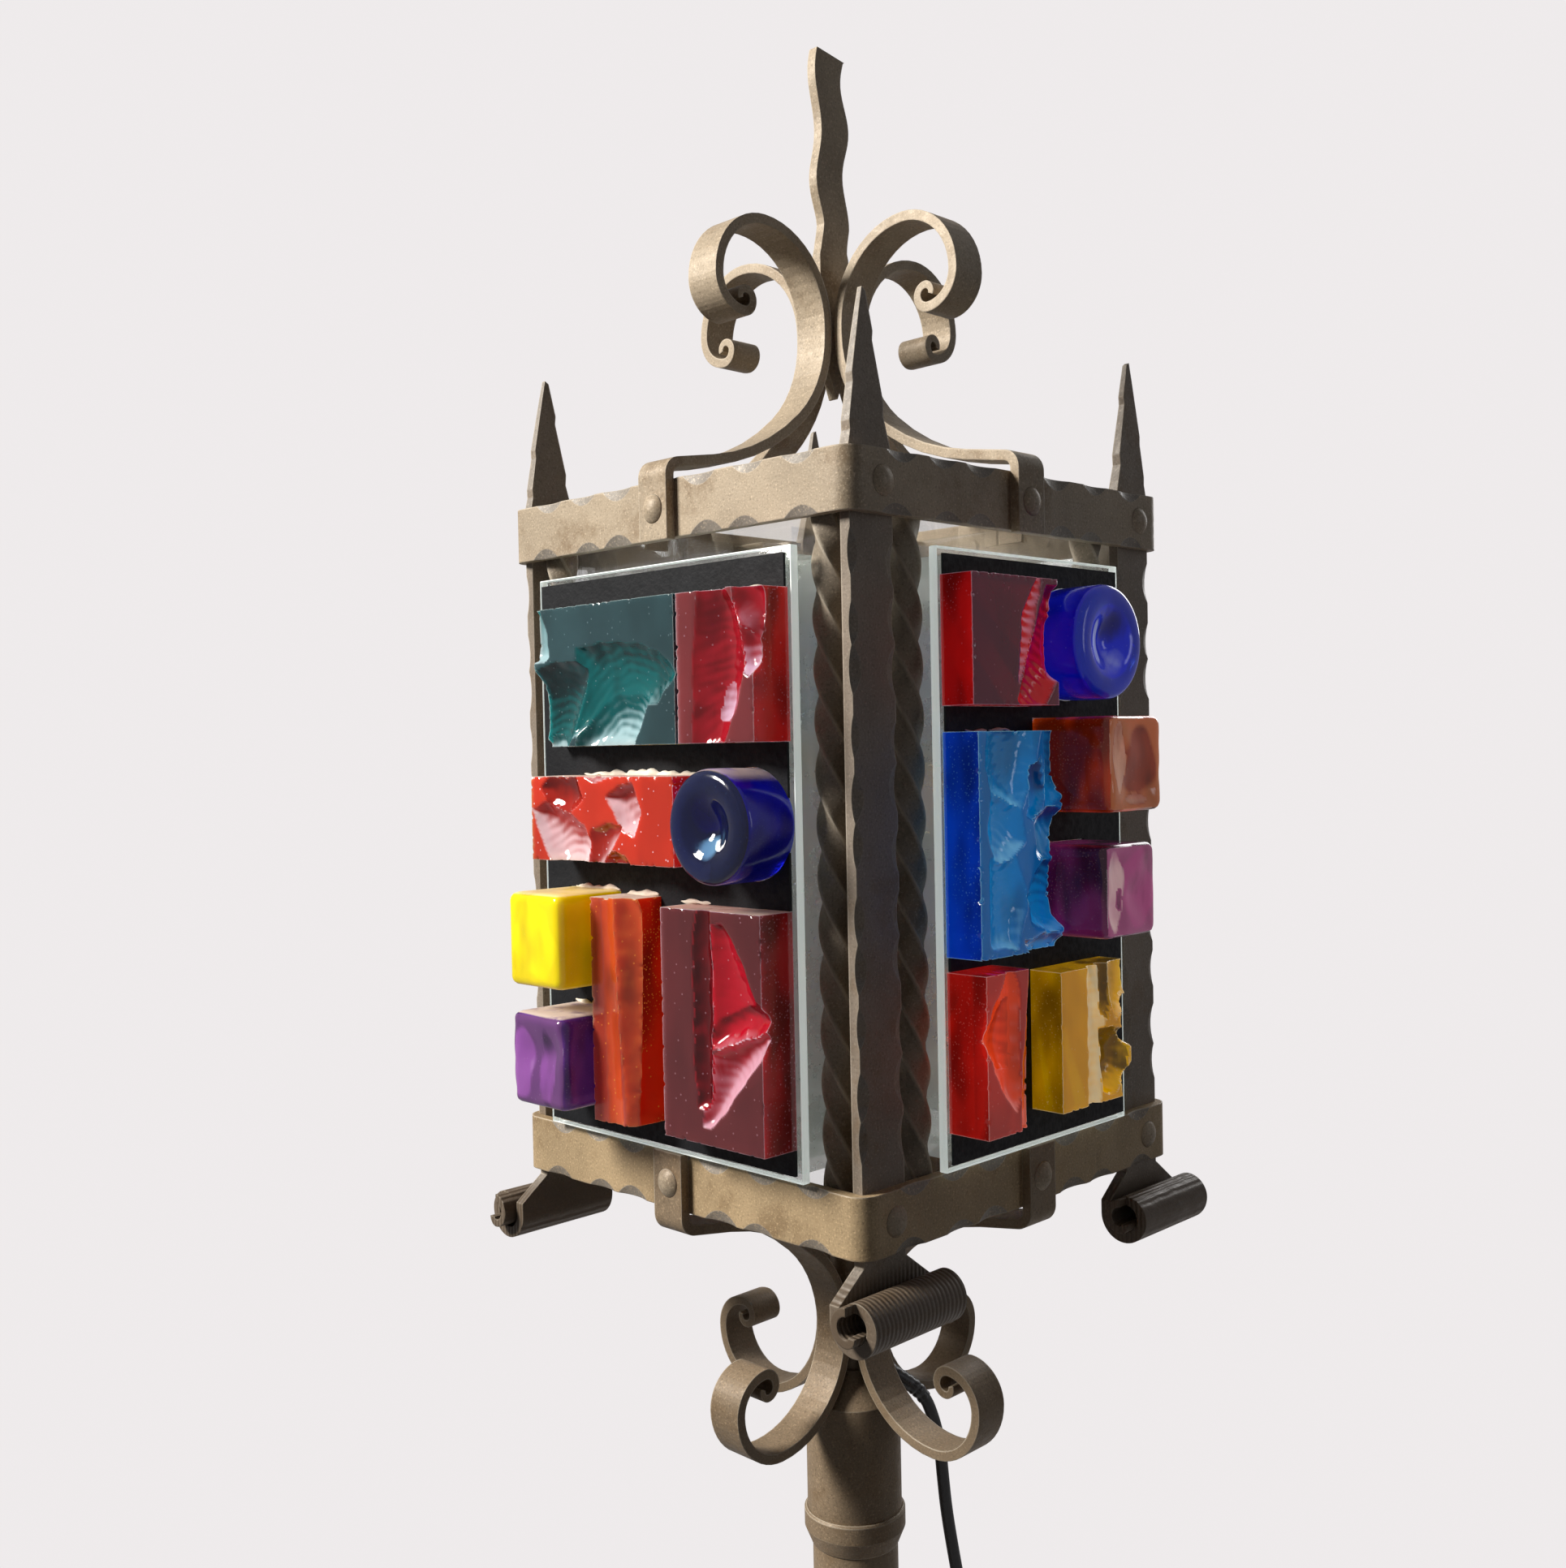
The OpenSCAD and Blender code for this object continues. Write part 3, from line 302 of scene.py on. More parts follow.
# %% [markdown]
# ## Clear glass, filling and the plain finishes
# The panes and plates are float glass, faintly green and a little dusty. The strips between them were cut and
# ground, so they are cloudy, and carry a faint painted glow. A low alpha lets lamplight through to the iron
# behind, as thin glass does. The filling behind the blocks is a black compound with a rough skin. Glue, plastic,
# rubber, brass and the white glass of the bulb differ from it only in colour, gloss and the size and depth of their
# grain.

# %% Clear glass and plain finishes
DUST, RIM_LIGHT = (0.72, 0.76, 0.72), (0.78, 0.86, 0.82)


def clear_finish(name, tint, rough, cloud, through, rim_glow=0.0, solid=1.0):
    f = Finish(name)
    spot = f.place()
    dust = f.noise(spot, 55, 5, 0.7)
    # The emission in RIM_LIGHT is a painted glow.
    return f.surface(
        Base_Color=f.mix(f.band(dust, 0.45, 0.75, 0, cloud), tint, DUST),
        Roughness=f.band(dust, 0.3, 0.8, rough, rough + cloud * 0.4), Transmission_Weight=through, IOR=1.5,
        Emission_Color=RIM_LIGHT, Emission_Strength=rim_glow, Alpha=solid,
        Normal=f.bump(f.noise(spot, 30, 2), 0.08, 0.001))


def matt_finish(name, colour, rough, grain, depth, gloss=0.5):
    f = Finish(name)
    spot = f.place()
    skin = f.noise(spot, grain, 4, 0.6)
    faded = [min(1, c * 1.7 + 0.004) for c in colour]
    shade = f.mix(f.band(f.noise(spot, grain * 0.13, 3), 0.3, 0.75, 0, 0.6), colour, faded)
    return f.surface(Base_Color=shade, Roughness=f.band(skin, 0.3, 0.75, rough - 0.1, rough + 0.12),
                     Specular_IOR_Level=gloss, Normal=f.bump(skin, 0.6, depth))


float_glass = clear_finish("clear_glass", (0.93, 0.97, 0.95), 0.02, 0.12, 1.0, solid=0.3)
ground_glass = clear_finish("ground_glass", (0.74, 0.82, 0.76), 0.2, 0.7, 0.6, 0.06, solid=0.6)
filling = matt_finish("black_filling", (0.006, 0.0065, 0.008), 0.6, 420, 0.0005, 0.15)
glue = matt_finish("cream_glue", (0.6, 0.53, 0.44), 0.7, 500, 0.0008)
plastic = matt_finish("black_plastic", (0.02, 0.02, 0.022), 0.34, 1400, 0.00006)
rubber = matt_finish("cord_rubber", (0.014, 0.014, 0.015), 0.48, 700, 0.00008)
brass = matt_finish("pin_brass", (0.55, 0.4, 0.18), 0.3, 600, 0.00004, 0.8)
opal = matt_finish("bulb_glass", (0.82, 0.8, 0.75), 0.22, 90, 0.00005)
print("plain finishes ready")

# %% [markdown]
# ## Coloured glass
# A block shows three skins. The cast front is smooth and a little milky, partly its own tone and partly a painted
# reflection. Where a blow broke it, the glass is clean and takes its full colour. The sawn sides look into the
# depth. Two attributes on the mesh say which is which: `broken` on the points, and `sawn` on the faces. A third,
# `look`, lays painted shade over a break below zero and a pale painted reflection above zero, and a face turned up
# is painted paler, one turned down darker. Bubbles are pale specks, and sharp edges carry a thin painted highlight.
# Dust lies on some tops. A little of the block's own colour is added as a painted glow. Colours are given as seen in
# daylight, from 0 to 255.

# %% Coloured glass finish
BLOCK_DUST = (226, 205, 188)


def daylight(red, green, blue):
    return tuple((c / 255 / 12.92) if c < 11 else ((c / 255 + 0.055) / 1.055) ** 2.4 for c in (red, green, blue))


def block_finish(name, skin, scar, side, pale_reflection, through, seeds, dust=0.0, glow=0.1, deep=0.3):
    f = Finish(name)
    skin, scar, side, pale_reflection = (daylight(*c) for c in (skin, scar, side, pale_reflection))
    spot = f.place()
    broken = f.node("Attribute", {"attribute_name": "broken"}, out=2)
    look = f.node("Attribute", {"attribute_name": "look"}, out=2)
    sawn = f.node("Attribute", {"attribute_name": "sawn"}, out=2)
    face = f.node("NewGeometry", out=1)
    up = f.node("SeparateXYZ", out=2, Vector=face)
    cloud = f.noise(f.place(scale=(1, 1, 0.45)), 48, 2, 0.4)
    flow = f.noise(f.place(scale=(1, 1, 0.35), turn=(0.3, 0.5, 0)), 110, 3, 0.55, 0.6)
    # Painted shade and painted reflection: a break goes darker where this is low and takes the pale reflection colour
    # where it is high; a face turned up counts higher.
    shade = look + (flow - 0.5) * 0.8 + up * 1.1
    inside = f.mix(f.band(cloud, 0.5, 0.72), scar, [c * 0.5 for c in scar])
    inside = f.mix(f.band(shade, 0.0, -0.9, 0, 0.92), inside, [c * deep * 0.5 for c in side])
    inside = f.mix(f.band(shade, 0.35, 1.3, 0, 0.95), inside, pale_reflection)
    colour = f.mix(broken, f.mix(f.band(cloud, 0.4, 0.66, 0, 0.5), skin, [c * 0.6 for c in skin]), inside)
    colour = f.mix(sawn, colour, f.mix(f.band(cloud, 0.4, 0.62), side, [c * deep for c in side]))
    seed = f.band(f.cells(spot, 270), 0.14, 0.07, 0, seeds)
    spark = f.band(f.cells(spot, 700), 0.3, 0.12, 0, seeds) * sawn * f.band(cloud, 0.4, 0.55)
    colour = f.mix((seed + spark).clip(), colour, pale_reflection)
    rough = f.band(f.noise(spot, 300, 3), 0.3, 0.8, 0.03, 0.1) + (1 - broken) * 0.07
    if dust:
        top = f.band(up, 0.75, 0.92) * f.band(f.noise(spot, 90, 5, 0.7), 0.3, 0.5, dust * 0.4, dust)
        colour = f.mix(top, colour, daylight(*BLOCK_DUST))
        rough = rough + top * 0.6
    # Painted highlight: a thin pale line along the sharp edges.
    rounded = f.node("Bevel", {"samples": 4}, Radius=0.0006)
    edge = 1 - f.node("VectorMath", {"operation": "DOT_PRODUCT"}, out=1, i0=rounded, i1=face)
    colour = f.mix(f.band(edge, 0.03, 0.16, 0, 0.55), colour, [min(1, c * 1.3 + 0.12) for c in pale_reflection])
    fine = f.bump(flow * 0.6 + f.noise(spot, 130, 2, 0.4), 0.16, 0.0006, rounded)
    # The emission adds the block's own colour as a painted glow.
    return f.surface(
        Base_Color=colour, Roughness=rough, Transmission_Weight=through, IOR=1.5, Subsurface_Weight=0.6,
        Subsurface_Radius=(1, 1, 1), Subsurface_Scale=0.015, Emission_Color=colour, Emission_Strength=glow,
        Normal=fine)


# Each row: name, cast skin, broken face, sawn side, pale painted reflection, how clear, how many bubbles, and what
# else differs. The milky cast skins are partly painted reflection.
GLASSES = [
    ("teal", (50, 80, 86), (0, 104, 106), (0, 60, 70), (190, 226, 234), 0.4, 0.2, {}),
    ("red", (130, 54, 58), (178, 20, 38), (222, 16, 18), (236, 200, 226), 0.4, 0.25, {}),
    ("wine", (104, 42, 46), (200, 14, 40), (178, 20, 28), (238, 184, 204), 0.4, 0.3, dict(dust=0.6)),
    ("orange", (208, 54, 28), (170, 34, 18), (242, 44, 12), (242, 212, 220), 0.3, 0.9, dict(dust=0.95)),
    ("ember", (180, 70, 52), (220, 86, 40), (240, 46, 10), (240, 150, 60), 0.35, 1.0, dict(dust=0.95)),
    ("navy", (20, 30, 74), (12, 22, 60), (18, 22, 215), (120, 175, 220), 0.5, 0.05, dict(dust=0.7)),
    ("royal", (8, 38, 170), (12, 40, 215), (6, 14, 185), (190, 200, 240), 0.4, 0.05, dict(glow=0.25)),
    ("yellow", (238, 214, 0), (244, 222, 0), (240, 208, 0), (255, 250, 180), 0.05, 0.05,
     dict(dust=0.5, glow=0.18, deep=0.7)),
    ("violet", (116, 70, 130), (158, 92, 176), (106, 52, 146), (222, 186, 236), 0.35, 0.1, dict(dust=0.95)),
    ("crimson", (84, 14, 40), (205, 18, 28), (190, 14, 16), (226, 164, 190), 0.4, 0.1, dict(glow=0.26)),
    ("azure", (0, 104, 168), (0, 128, 190), (0, 56, 190), (140, 212, 240), 0.35, 0.1, dict(glow=0.36)),
    ("amber", (182, 108, 62), (134, 54, 24), (196, 66, 10), (240, 196, 170), 0.35, 0.05, dict(glow=0.28, deep=0.12)),
    ("rose", (172, 88, 134), (186, 84, 140), (112, 34, 88), (246, 212, 206), 0.35, 0.05, dict(glow=0.3, deep=0.16)),
    ("coral", (168, 48, 38), (244, 80, 30), (180, 24, 18), (250, 176, 172), 0.4, 0.1, dict(glow=0.3)),
    ("olive", (200, 144, 0), (236, 180, 0), (180, 140, 0), (226, 218, 188), 0.4, 0.1, dict(glow=0.32, deep=0.16)),
]
glasses = {name: block_finish(name + "_glass", *colours, **more) for name, *colours, more in GLASSES}
SLOT_OF = {"wine": "darkred", "ember": "orange", "navy": "blue", "royal": "blue", "violet": "purple",
           "crimson": "red", "azure": "blue", "rose": "pink", "coral": "red"}
print("block glasses:", ", ".join(glasses))

# %% [markdown]
# ## Turning a mesh into a piece
# Every finished mesh becomes an object at the origin, rides on the lamp and, where it stands for a CAD solid,
# replaces it. Smooth shading is kept from running over edges sharper than an angle.

# %% Pieces
def piece(name, bm, finish, slot, nodes, sharp):
    mesh = bpy.data.meshes.new(name)
    bm.to_mesh(mesh)
    bm.free()
    for polygon in mesh.polygons:
        polygon.use_smooth = True
    mesh.set_sharp_from_angle(angle=math.radians(sharp))
    mesh.materials.append(finish)
    made = bpy.data.objects.new(name, mesh)
    bpy.context.scene.collection.objects.link(made)
    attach(made, "lamp")
    if nodes:
        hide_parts(*nodes)
    return made


def add_to(whole, part):
    mesh = bpy.data.meshes.new("part")
    part.to_mesh(mesh)
    part.free()
    whole.from_mesh(mesh)
    bpy.data.meshes.remove(mesh)


print("piece tools ready")

# %% [markdown]
# ## The broken slabs
# Each slab is sawn on its sides and struck on its front, where the blow lifts shells of glass. A shell leaves a
# hollow with a sharp rim and faint rings round the point of the blow. The block starts as a cube cut into small
# cells. Every point is then pushed back by the deepest hollow over it, and the push fades towards the plate, so the
# cells never fold over each other. A hollow is given by its look, its depth, the run of its slope, the height of its
# rings, and its outline. Inside the outline, a soft minimum of the distances to its sides keeps it round like a
# shell, while two hollows that meet leave a sharp ridge.

# %% Sawn block and scars
def sawn_block(width, depth, height, cell):
    bm = bmesh.new()
    bmesh.ops.create_cube(bm, size=1)
    bmesh.ops.scale(bm, vec=(width, depth, height), verts=bm.verts[:])
    bmesh.ops.translate(bm, vec=(width / 2, depth / 2, height / 2), verts=bm.verts[:])
    for axis, size, step in ((0, width, cell), (2, height, cell), (1, depth, cell * 2)):
        edges = [e for e in bm.edges if abs((e.verts[0].co - e.verts[1].co).normalized()[axis]) > 0.9]
        bmesh.ops.subdivide_edges(bm, edges=edges, cuts=max(1, round(size / step) - 1), use_grid_fill=True)
    bm.normal_update()
    sawn = bm.faces.layers.float.new("sawn")
    for face in bm.faces:
        face[sawn] = float(abs(face.normal.y) < 0.5)
    return bm


def hollow_depth(x, z, depth, run, rings, outline):
    xs, zs = zip(*outline)
    if not (min(xs) < x < max(xs) and min(zs) < z < max(zs)):
        return 0.0
    total = 0.0
    for (x1, z1), (x2, z2) in zip(outline, outline[1:] + outline[:1]):
        inward = ((x - x1) * (z2 - z1) - (z - z1) * (x2 - x1)) / math.hypot(x2 - x1, z2 - z1)
        if inward <= 0:
            return 0.0
        total += inward ** -3
    inward = total ** (-1 / 3)
    away = math.hypot(x - xs[0], z - zs[0]) + 1.5 * noise.noise(Vector((x * 0.1, z * 0.1, depth)))
    return depth * (1 - (1 - min(1, inward / run)) ** 2) + rings * math.sin(away * 1.6) * min(1, inward / 3)


def struck_slab(bm, depth, scars, seed, ragged):
    broken, look = (bm.verts.layers.float.new(layer) for layer in ("broken", "look"))
    width, height = (max(v.co[i] for v in bm.verts) for i in (0, 2))
    front = {}
    for v in bm.verts:
        x, y, z = v.co
        spot = (round(x, 2), round(z, 2))
        if spot not in front:
            wx, wz = (x + 0.9 * noise.noise(Vector((x * 0.16, z * 0.16, seed))),
                      z + 0.9 * noise.noise(Vector((x * 0.16, z * 0.16, seed + 3))))
            front[spot] = max([(0.0, 0)] + [(hollow_depth(wx, wz, *scar[1:]), scar[0]) for scar in scars])
        back, v[look] = front[spot]
        back = min(back, depth * 0.8)
        v[broken] = min(1, back / 0.5)
        fade = 1 - y / depth
        rim = min(x, z, width - x, height - z)
        nick = max(0, noise.noise(Vector((x * 0.45, z * 0.45, seed + 7))) - 0.12) * ragged * 2.2
        if rim < 1.4:
            back += nick * (1.4 - rim)
        v.co.y = y + back * fade
        pull = nick * fade ** 2 * 0.5
        v.co.x += pull * ((x < 1) - (x > width - 1))
        v.co.z += pull * ((z < 1) - (z > height - 1))
    flat = {v for v in bm.verts if v.co.y > depth - 1e-4}
    bmesh.ops.dissolve_limit(bm, angle_limit=0.01, use_dissolve_boundaries=False, verts=list(flat),
                             edges=[e for e in bm.edges if flat.issuperset(e.verts)])
    return bm


print("slab tools ready")

# %% [markdown]
# ## The cord
# A black round rubber lead, 6 mm thick, leaves the tube under the lantern through a bush, hangs down beside the
# pole, crosses the floor to a foot switch, is wound in a coil behind the lamp and ends in a plug. Each stretch
# follows the same points as in the CAD model. A curve is drawn through them, and its round bevel gives the
# rubber its thickness. The bush's tapered boot is swept along the first centimetres of the same line.

# %% Route points
def smooth_line(points, steps):
    line = []
    for i in range(len(points) - 1):
        a, b, c, d = (Vector(points[max(0, min(len(points) - 1, j))]) for j in (i - 1, i, i + 1, i + 2))
        for k in range(steps):
            t = k / steps
            line.append(0.5 * (2 * b + (c - a) * t + (2 * a - 5 * b + 4 * c - d) * t * t
                               + (3 * b - a - 3 * c + d) * t * t * t))
    return line + [Vector(points[-1])]


def line_length(line):
    return sum((b - a).length for a, b in zip(line, line[1:]))


outlet = Vector((10.889, 10.889, 1069.5))
outward = Vector((0.59966, 0.59966, -0.52992))
beside_pole = [(q, q, LANTERN_FOOT + h) for q, h in (
    (22.6, -113.7), (25.1, -118.5), (26.7, -124), (28.3, -132), (29.6, -142), (30.4, -156), (31.6, -174),
    (34.3, -200), (39, -240), (46, -330), (52, -520), (55, -760), (58, -960))]
to_switch = [(61, 61, 87), (64, 64, 44), (70, 69, 19), (83, 76.5, 5.2), (106, 81, 3.2), (125.3, 88.2, 3.2),
             (132.5, 105.5, 3.6), (127, 120.5, 5.4), (117.5, 127.8, 7), (104, 130, 8)]
drop = smooth_line([tuple(outlet + outward), tuple(outlet + 14 * outward)] + beside_pole + to_switch, 4)

COIL_X, COIL_Y, COIL_Z, COIL_RADIUS = -88, 85, 4.3, 45
COIL_STEP, COIL_LAYER, COIL_LIFT = 6.6, 1260, 6.5      # step of a turn, degrees a layer, rise to the upper layer


def coil_point(angle):
    radius = COIL_RADIUS - COIL_STEP * (COIL_LAYER - abs(angle - COIL_LAYER)) / 360
    lift = min(1, max(0, (angle - COIL_LAYER + 90) / 180)) * COIL_LIFT
    a = math.radians(90 + angle)
    return Vector((COIL_X + radius * math.cos(a), COIL_Y + radius * math.sin(a), COIL_Z + lift))


to_coil = smooth_line([(46, 130, 8), (36, 130, 7), (24, 130, 4.6), (6, 129.6, 3.6), (-30, 129.4, 3.6),
                       (-60, 130, 4.3), (-82, 130, 4.3)], 3)
turns = [coil_point(a) for a in range(0, 2 * COIL_LAYER + 1, 15)]
to_plug = smooth_line([(-94, 130, 10.8), (-117, 127.6, 9.4), (-136, 114, 5.4), (-146, 88, 3.5), (-146, 40, 3.4),
                       (-146, 0, 4.8), (-146, -14, 6.8), (-146, -26, 7)], 3)
tail = to_coil + turns + to_plug
print("drop %.0f mm, tail %.0f mm" % (line_length(drop), line_length(tail)))


# %% Cord curves
def lead(name, line, thickness):
    curve = bpy.data.curves.new(name, "CURVE")
    curve.dimensions = "3D"
    spline = curve.splines.new("POLY")
    spline.points.add(len(line) - 1)
    for point, place in zip(spline.points, line):
        point.co = (*(place * MM), 1)
    spline.use_smooth = True
    curve.bevel_depth = thickness * MM / 2
    curve.bevel_resolution = 4
    curve.use_fill_caps = True
    curve.materials.append(rubber)
    made = bpy.data.objects.new(name, curve)
    bpy.context.scene.collection.objects.link(made)
    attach(made, "lamp")
    return made


CORD = 6
drop_cord = lead("cord_to_switch", drop, CORD)
tail_cord = lead("cord_to_plug", tail, CORD)
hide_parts("cord")
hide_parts("cord_coil")
print("two leads")


# %% Boot of the bush
def sweep(bm, line, sizes, sides=24):
    rings = []
    for i, (place, size) in enumerate(zip(line, sizes)):
        along = (line[min(i + 1, len(line) - 1)] - line[max(i - 1, 0)]).normalized()
        turn = along.to_track_quat("Z", "Y").to_matrix().to_4x4()
        ring = bmesh.ops.create_circle(bm, segments=sides, radius=size,
                                       matrix=Matrix.Translation(place) @ turn, cap_ends=i in (0, len(line) - 1))
        rings.append(list(dict.fromkeys(e for v in ring["verts"] for e in v.link_edges)))
    for a, b in zip(rings, rings[1:]):
        bmesh.ops.bridge_loops(bm, edges=a + b)
    bmesh.ops.recalc_face_normals(bm, faces=bm.faces[:])
    return bm


FLANGE_R, FLANGE_L = 5.6, 4.5                          # the flange at the tube
RIBS_FROM, RIBS_TO, RIB_DEPTH = 6, 26, 0.35            # the ribs on the taper
boot_line = smooth_line([tuple(outlet - 2 * outward), tuple(outlet + outward)] + [tuple(p) for p in drop[2:14:3]], 6)
reach, boot_sizes = 0.0, []
for a, b in zip([boot_line[0]] + boot_line, boot_line):
    reach += (b - a).length
    groove = RIB_DEPTH * (math.sin(reach * 1.9) > 0.2) if RIBS_FROM < reach < RIBS_TO else 0
    boot_sizes.append((FLANGE_R if reach < FLANGE_L else max(3.3, 4.9 - reach * 0.055)) - groove)
boot = bmesh.new()
sweep(boot, [p * MM for p in boot_line], [r * MM for r in boot_sizes])
bush = piece("cord_boot", boot, plastic, "black_plastic", ["cord_bush"], sharp=40)
print("boot %.0f mm long" % reach)

# %% Cord starts and lengths
nodes = frame["nodes"]
tuple(drop[0] * MM)
line_length(drop) * MM
tuple(tail[0] * MM)
line_length(tail) * MM

# %% [markdown]
# ## Finishes for the CAD solids
# Most forged parts, the panes, the pole and the electric parts keep their CAD shape, and take a finish here. Some go
# by the first word of their name, the others by the whole name.

# %% Assign finishes
KINDS = {"top": iron, "finial": iron, "rivets": iron, "bottom": pole_iron, "core": pole_iron, "hub": pole_iron,
         "leg": pole_iron}
SINGLES = {"upper_band": bar_iron, "lower_band": low_iron_lightened, "glass_clips": iron,
           "corner_post_1": shaded_post_irons[1], "corner_post_2": shaded_post_irons[0],
           "corner_post_3": shaded_post_irons[1], "corner_post_4": shaded_post_irons[0],
           "socket_tube": pole_iron, "collar": pole_iron, "pole": pole_iron,
           "glass_panes": float_glass, "spacer_frames": ground_glass, "grout": filling,
           "lampholder": plastic, "bulb": opal, "cord_tie": plastic, "switch_body": plastic,
           "switch_button": plastic, "plug_body": plastic, "plug_pins": brass}
dressed = {name: SINGLES.get(name, KINDS.get(name.split("_")[0])) for name in nodes}
dressed = {name: finish for name, finish in dressed.items() if finish is not None}
for name, finish in dressed.items():
    nodes[name].data.materials.clear()
    nodes[name].data.materials.append(finish)
print("dressed", len(dressed), "of", len(nodes), "nodes; the others are modelled anew")

# %% [markdown]
# ## Laying out the blocks
# The builder of the lantern glued the blocks on the plates in a loose pattern. A block is modelled with its left
# lower front corner at zero, then put on its face: the front one looks along -Y, and each next face is a quarter
# turn further. The hidden faces repeat the layouts of the faces seen, so the places and the scars are tables, and
# several blocks can share a row of them.

# %% Placing on a face
def on_face(bm, face, left, bottom, depth):
    bmesh.ops.scale(bm, vec=(MM, MM, MM), verts=bm.verts[:])
    bmesh.ops.translate(bm, vec=(left * MM, -PLATE - depth * MM, LANTERN + bottom * MM), verts=bm.verts[:])
    bmesh.ops.rotate(bm, cent=(0, 0, 0), matrix=Matrix.Rotation(math.radians(90 * face), 3, "Z"),
                     verts=bm.verts[:])
    return bm


def glass_piece(name, bm, colour, node, sharp=50):
    return piece(name, bm, glasses[colour], SLOT_OF.get(colour, colour) + "_glass", [node], sharp=sharp)


print("layout tools ready")

# %% Places and scars
# Left, bottom, width, height and depth of each place, on the two wide faces (0 and 2) and the two narrow ones.
WIDE = {"upper_left": (-63, 201.5, 95, 61, 18), "upper_right": (36, 201.5, 44, 60.5, 20),
        "middle": (-62, 151.5, 96, 37, 22), "bar": (-24, 40, 25, 96.5, 20), "lower_right": (20, 40, 59, 94.5, 18),
        "upper_cube": (-63, 97, 37, 41, 36), "lower_cube": (-62, 45, 37, 40.5, 36)}
NARROW = {"upper_left": (-62.5, 214.5, 57.5, 52.5, 16), "middle": (-62.5, 113.5, 55.5, 90.5, 18),
          "lower_left": (-62.5, 42.5, 28.5, 65, 20), "lower_right": (-8, 43, 52, 59.5, 17),
          "upper_cube": (-3.5, 169.5, 39.5, 40, 40), "lower_cube": (-4, 117, 37, 39, 38)}
PLACES = (WIDE, NARROW)
# A scar: look, depth, run of its slope, height of its rings, and its outline clockwise from the point of the blow.
TEAL = [
    (0.05, 7.5, 16, 0.12, [(62, -3), (22, -3), (30, 43), (54, 44.5), (75, 42), (90, 36), (97, 28), (97, 20),
        (84, 17)]),
    (-0.55, 10, 15, 0.1, [(12, -6), (-9, -6), (-9, 37.5), (13, 37.5), (30, 42), (43, 32), (32, 14), (24, -6)]),
    (0.75, 10.5, 13, 0.16, [(56, -5), (26, -5), (34, 16), (43, 26), (60, 27), (74, 24), (79, 18), (66, -5)]),
    (0.95, 11.5, 7, 0.1, [(10, -6), (-8, -6), (-6, 3), (4, 10), (15, 8), (21, -6)]),
    (0.8, 4, 5, 0, [(-4, 37.5), (-4, 63), (4, 62), (10, 50), (11, 40), (7, 37.5)])]
RED = [
    (-0.25, 8, 13, 0.07, [(25, -4), (8, -4), (9, 21), (10, 42), (13, 64), (33, 64), (36, 50), (42, 40), (36, 17)]),
    (0.85, 9, 11, 0.07, [(22, 0), (13, 4), (13, 18), (19, 32), (29, 34), (35, 26), (32, 10)]),
    (0.05, 9, 7, 0, [(42, 36), (37, 46), (33, 54), (33, 64), (49, 64), (49, 38)]),
    (0.7, 6, 5, 0.1, [(42, 25), (36, 28), (34, 38), (38, 45), (48, 41), (48, 30)])]
ORANGE = [
    (0.9, 8, 10, 0.12, [(26, -5), (17, -5), (6, 10), (0.3, 23), (12, 26), (28, 21), (38, 16), (42, 9), (37, -5)]),
    (-0.5, 4.5, 8, 0, [(26, 19), (12, 24), (7, 32), (14, 39), (32, 38), (37, 27)]),
    (0.75, 5.5, 5, 0.1, [(71, 12), (64, 13), (53, 28), (60, 33), (70, 34.5), (76, 22)]),
    (0.5, 4, 5, 0, [(46, -4), (34, -4), (38, 6), (42, 14), (54, 17.5), (64, 16), (58, 8)]),
    (0.5, 6, 5, 0, [(58, -5), (45, -5), (47, 3), (56, 5.5), (65, 4), (72, -5)]),
    (0.0, 4, 5, 0, [(44, 34), (36, 38), (36, 44), (58, 44), (58, 37)])]
BAR = [
    (0.3, 11, 15, 0, [(34, -4), (22, -4), (14, 101), (34, 101)]),
    (0.1, 1.2, 4, 0, [(20, -4), (10, -4), (7, 101), (15, 101)])]
WINE = [
    (-0.8, 3.5, 5, 0, [(29, 14), (21, 14), (19, 30), (19, 80), (22, 97), (30, 97), (31, 60)]),
    (0.05, 7, 11, 0.06, [(36, 43), (29, 48), (27, 70), (31, 90), (41, 90), (47, 78), (58, 64), (64, 54), (53, 46)]),
    (-0.15, 8.5, 9, 0.05, [(36, 40), (28, 38), (30, 53), (41, 63), (52, 62), (66, 55), (62, 49), (48, 42)]),
    (0.85, 9, 9, 0.07, [(30, 7), (23, 7), (26, 20), (30, 37), (40, 43), (66, 53), (62, 44), (53, 31), (39, 17)])]
CRIMSON = [
    (0.6, 4, 6, 0.5, [(30, -4), (12, -4), (14, 10), (23, 24), (33, 38), (35, 56), (48, 56), (53, 46), (41, 26),
        (33, 6)]),
    (-0.2, 6, 8, 0.2, [(35, -4), (29, 2), (37, 22), (50, 50), (62, 50), (62, 16), (48, 0)]),
    (0.0, 7.5, 6, 0.1, [(53, 10), (49, 22), (51, 38), (64, 42), (64, 10)])]
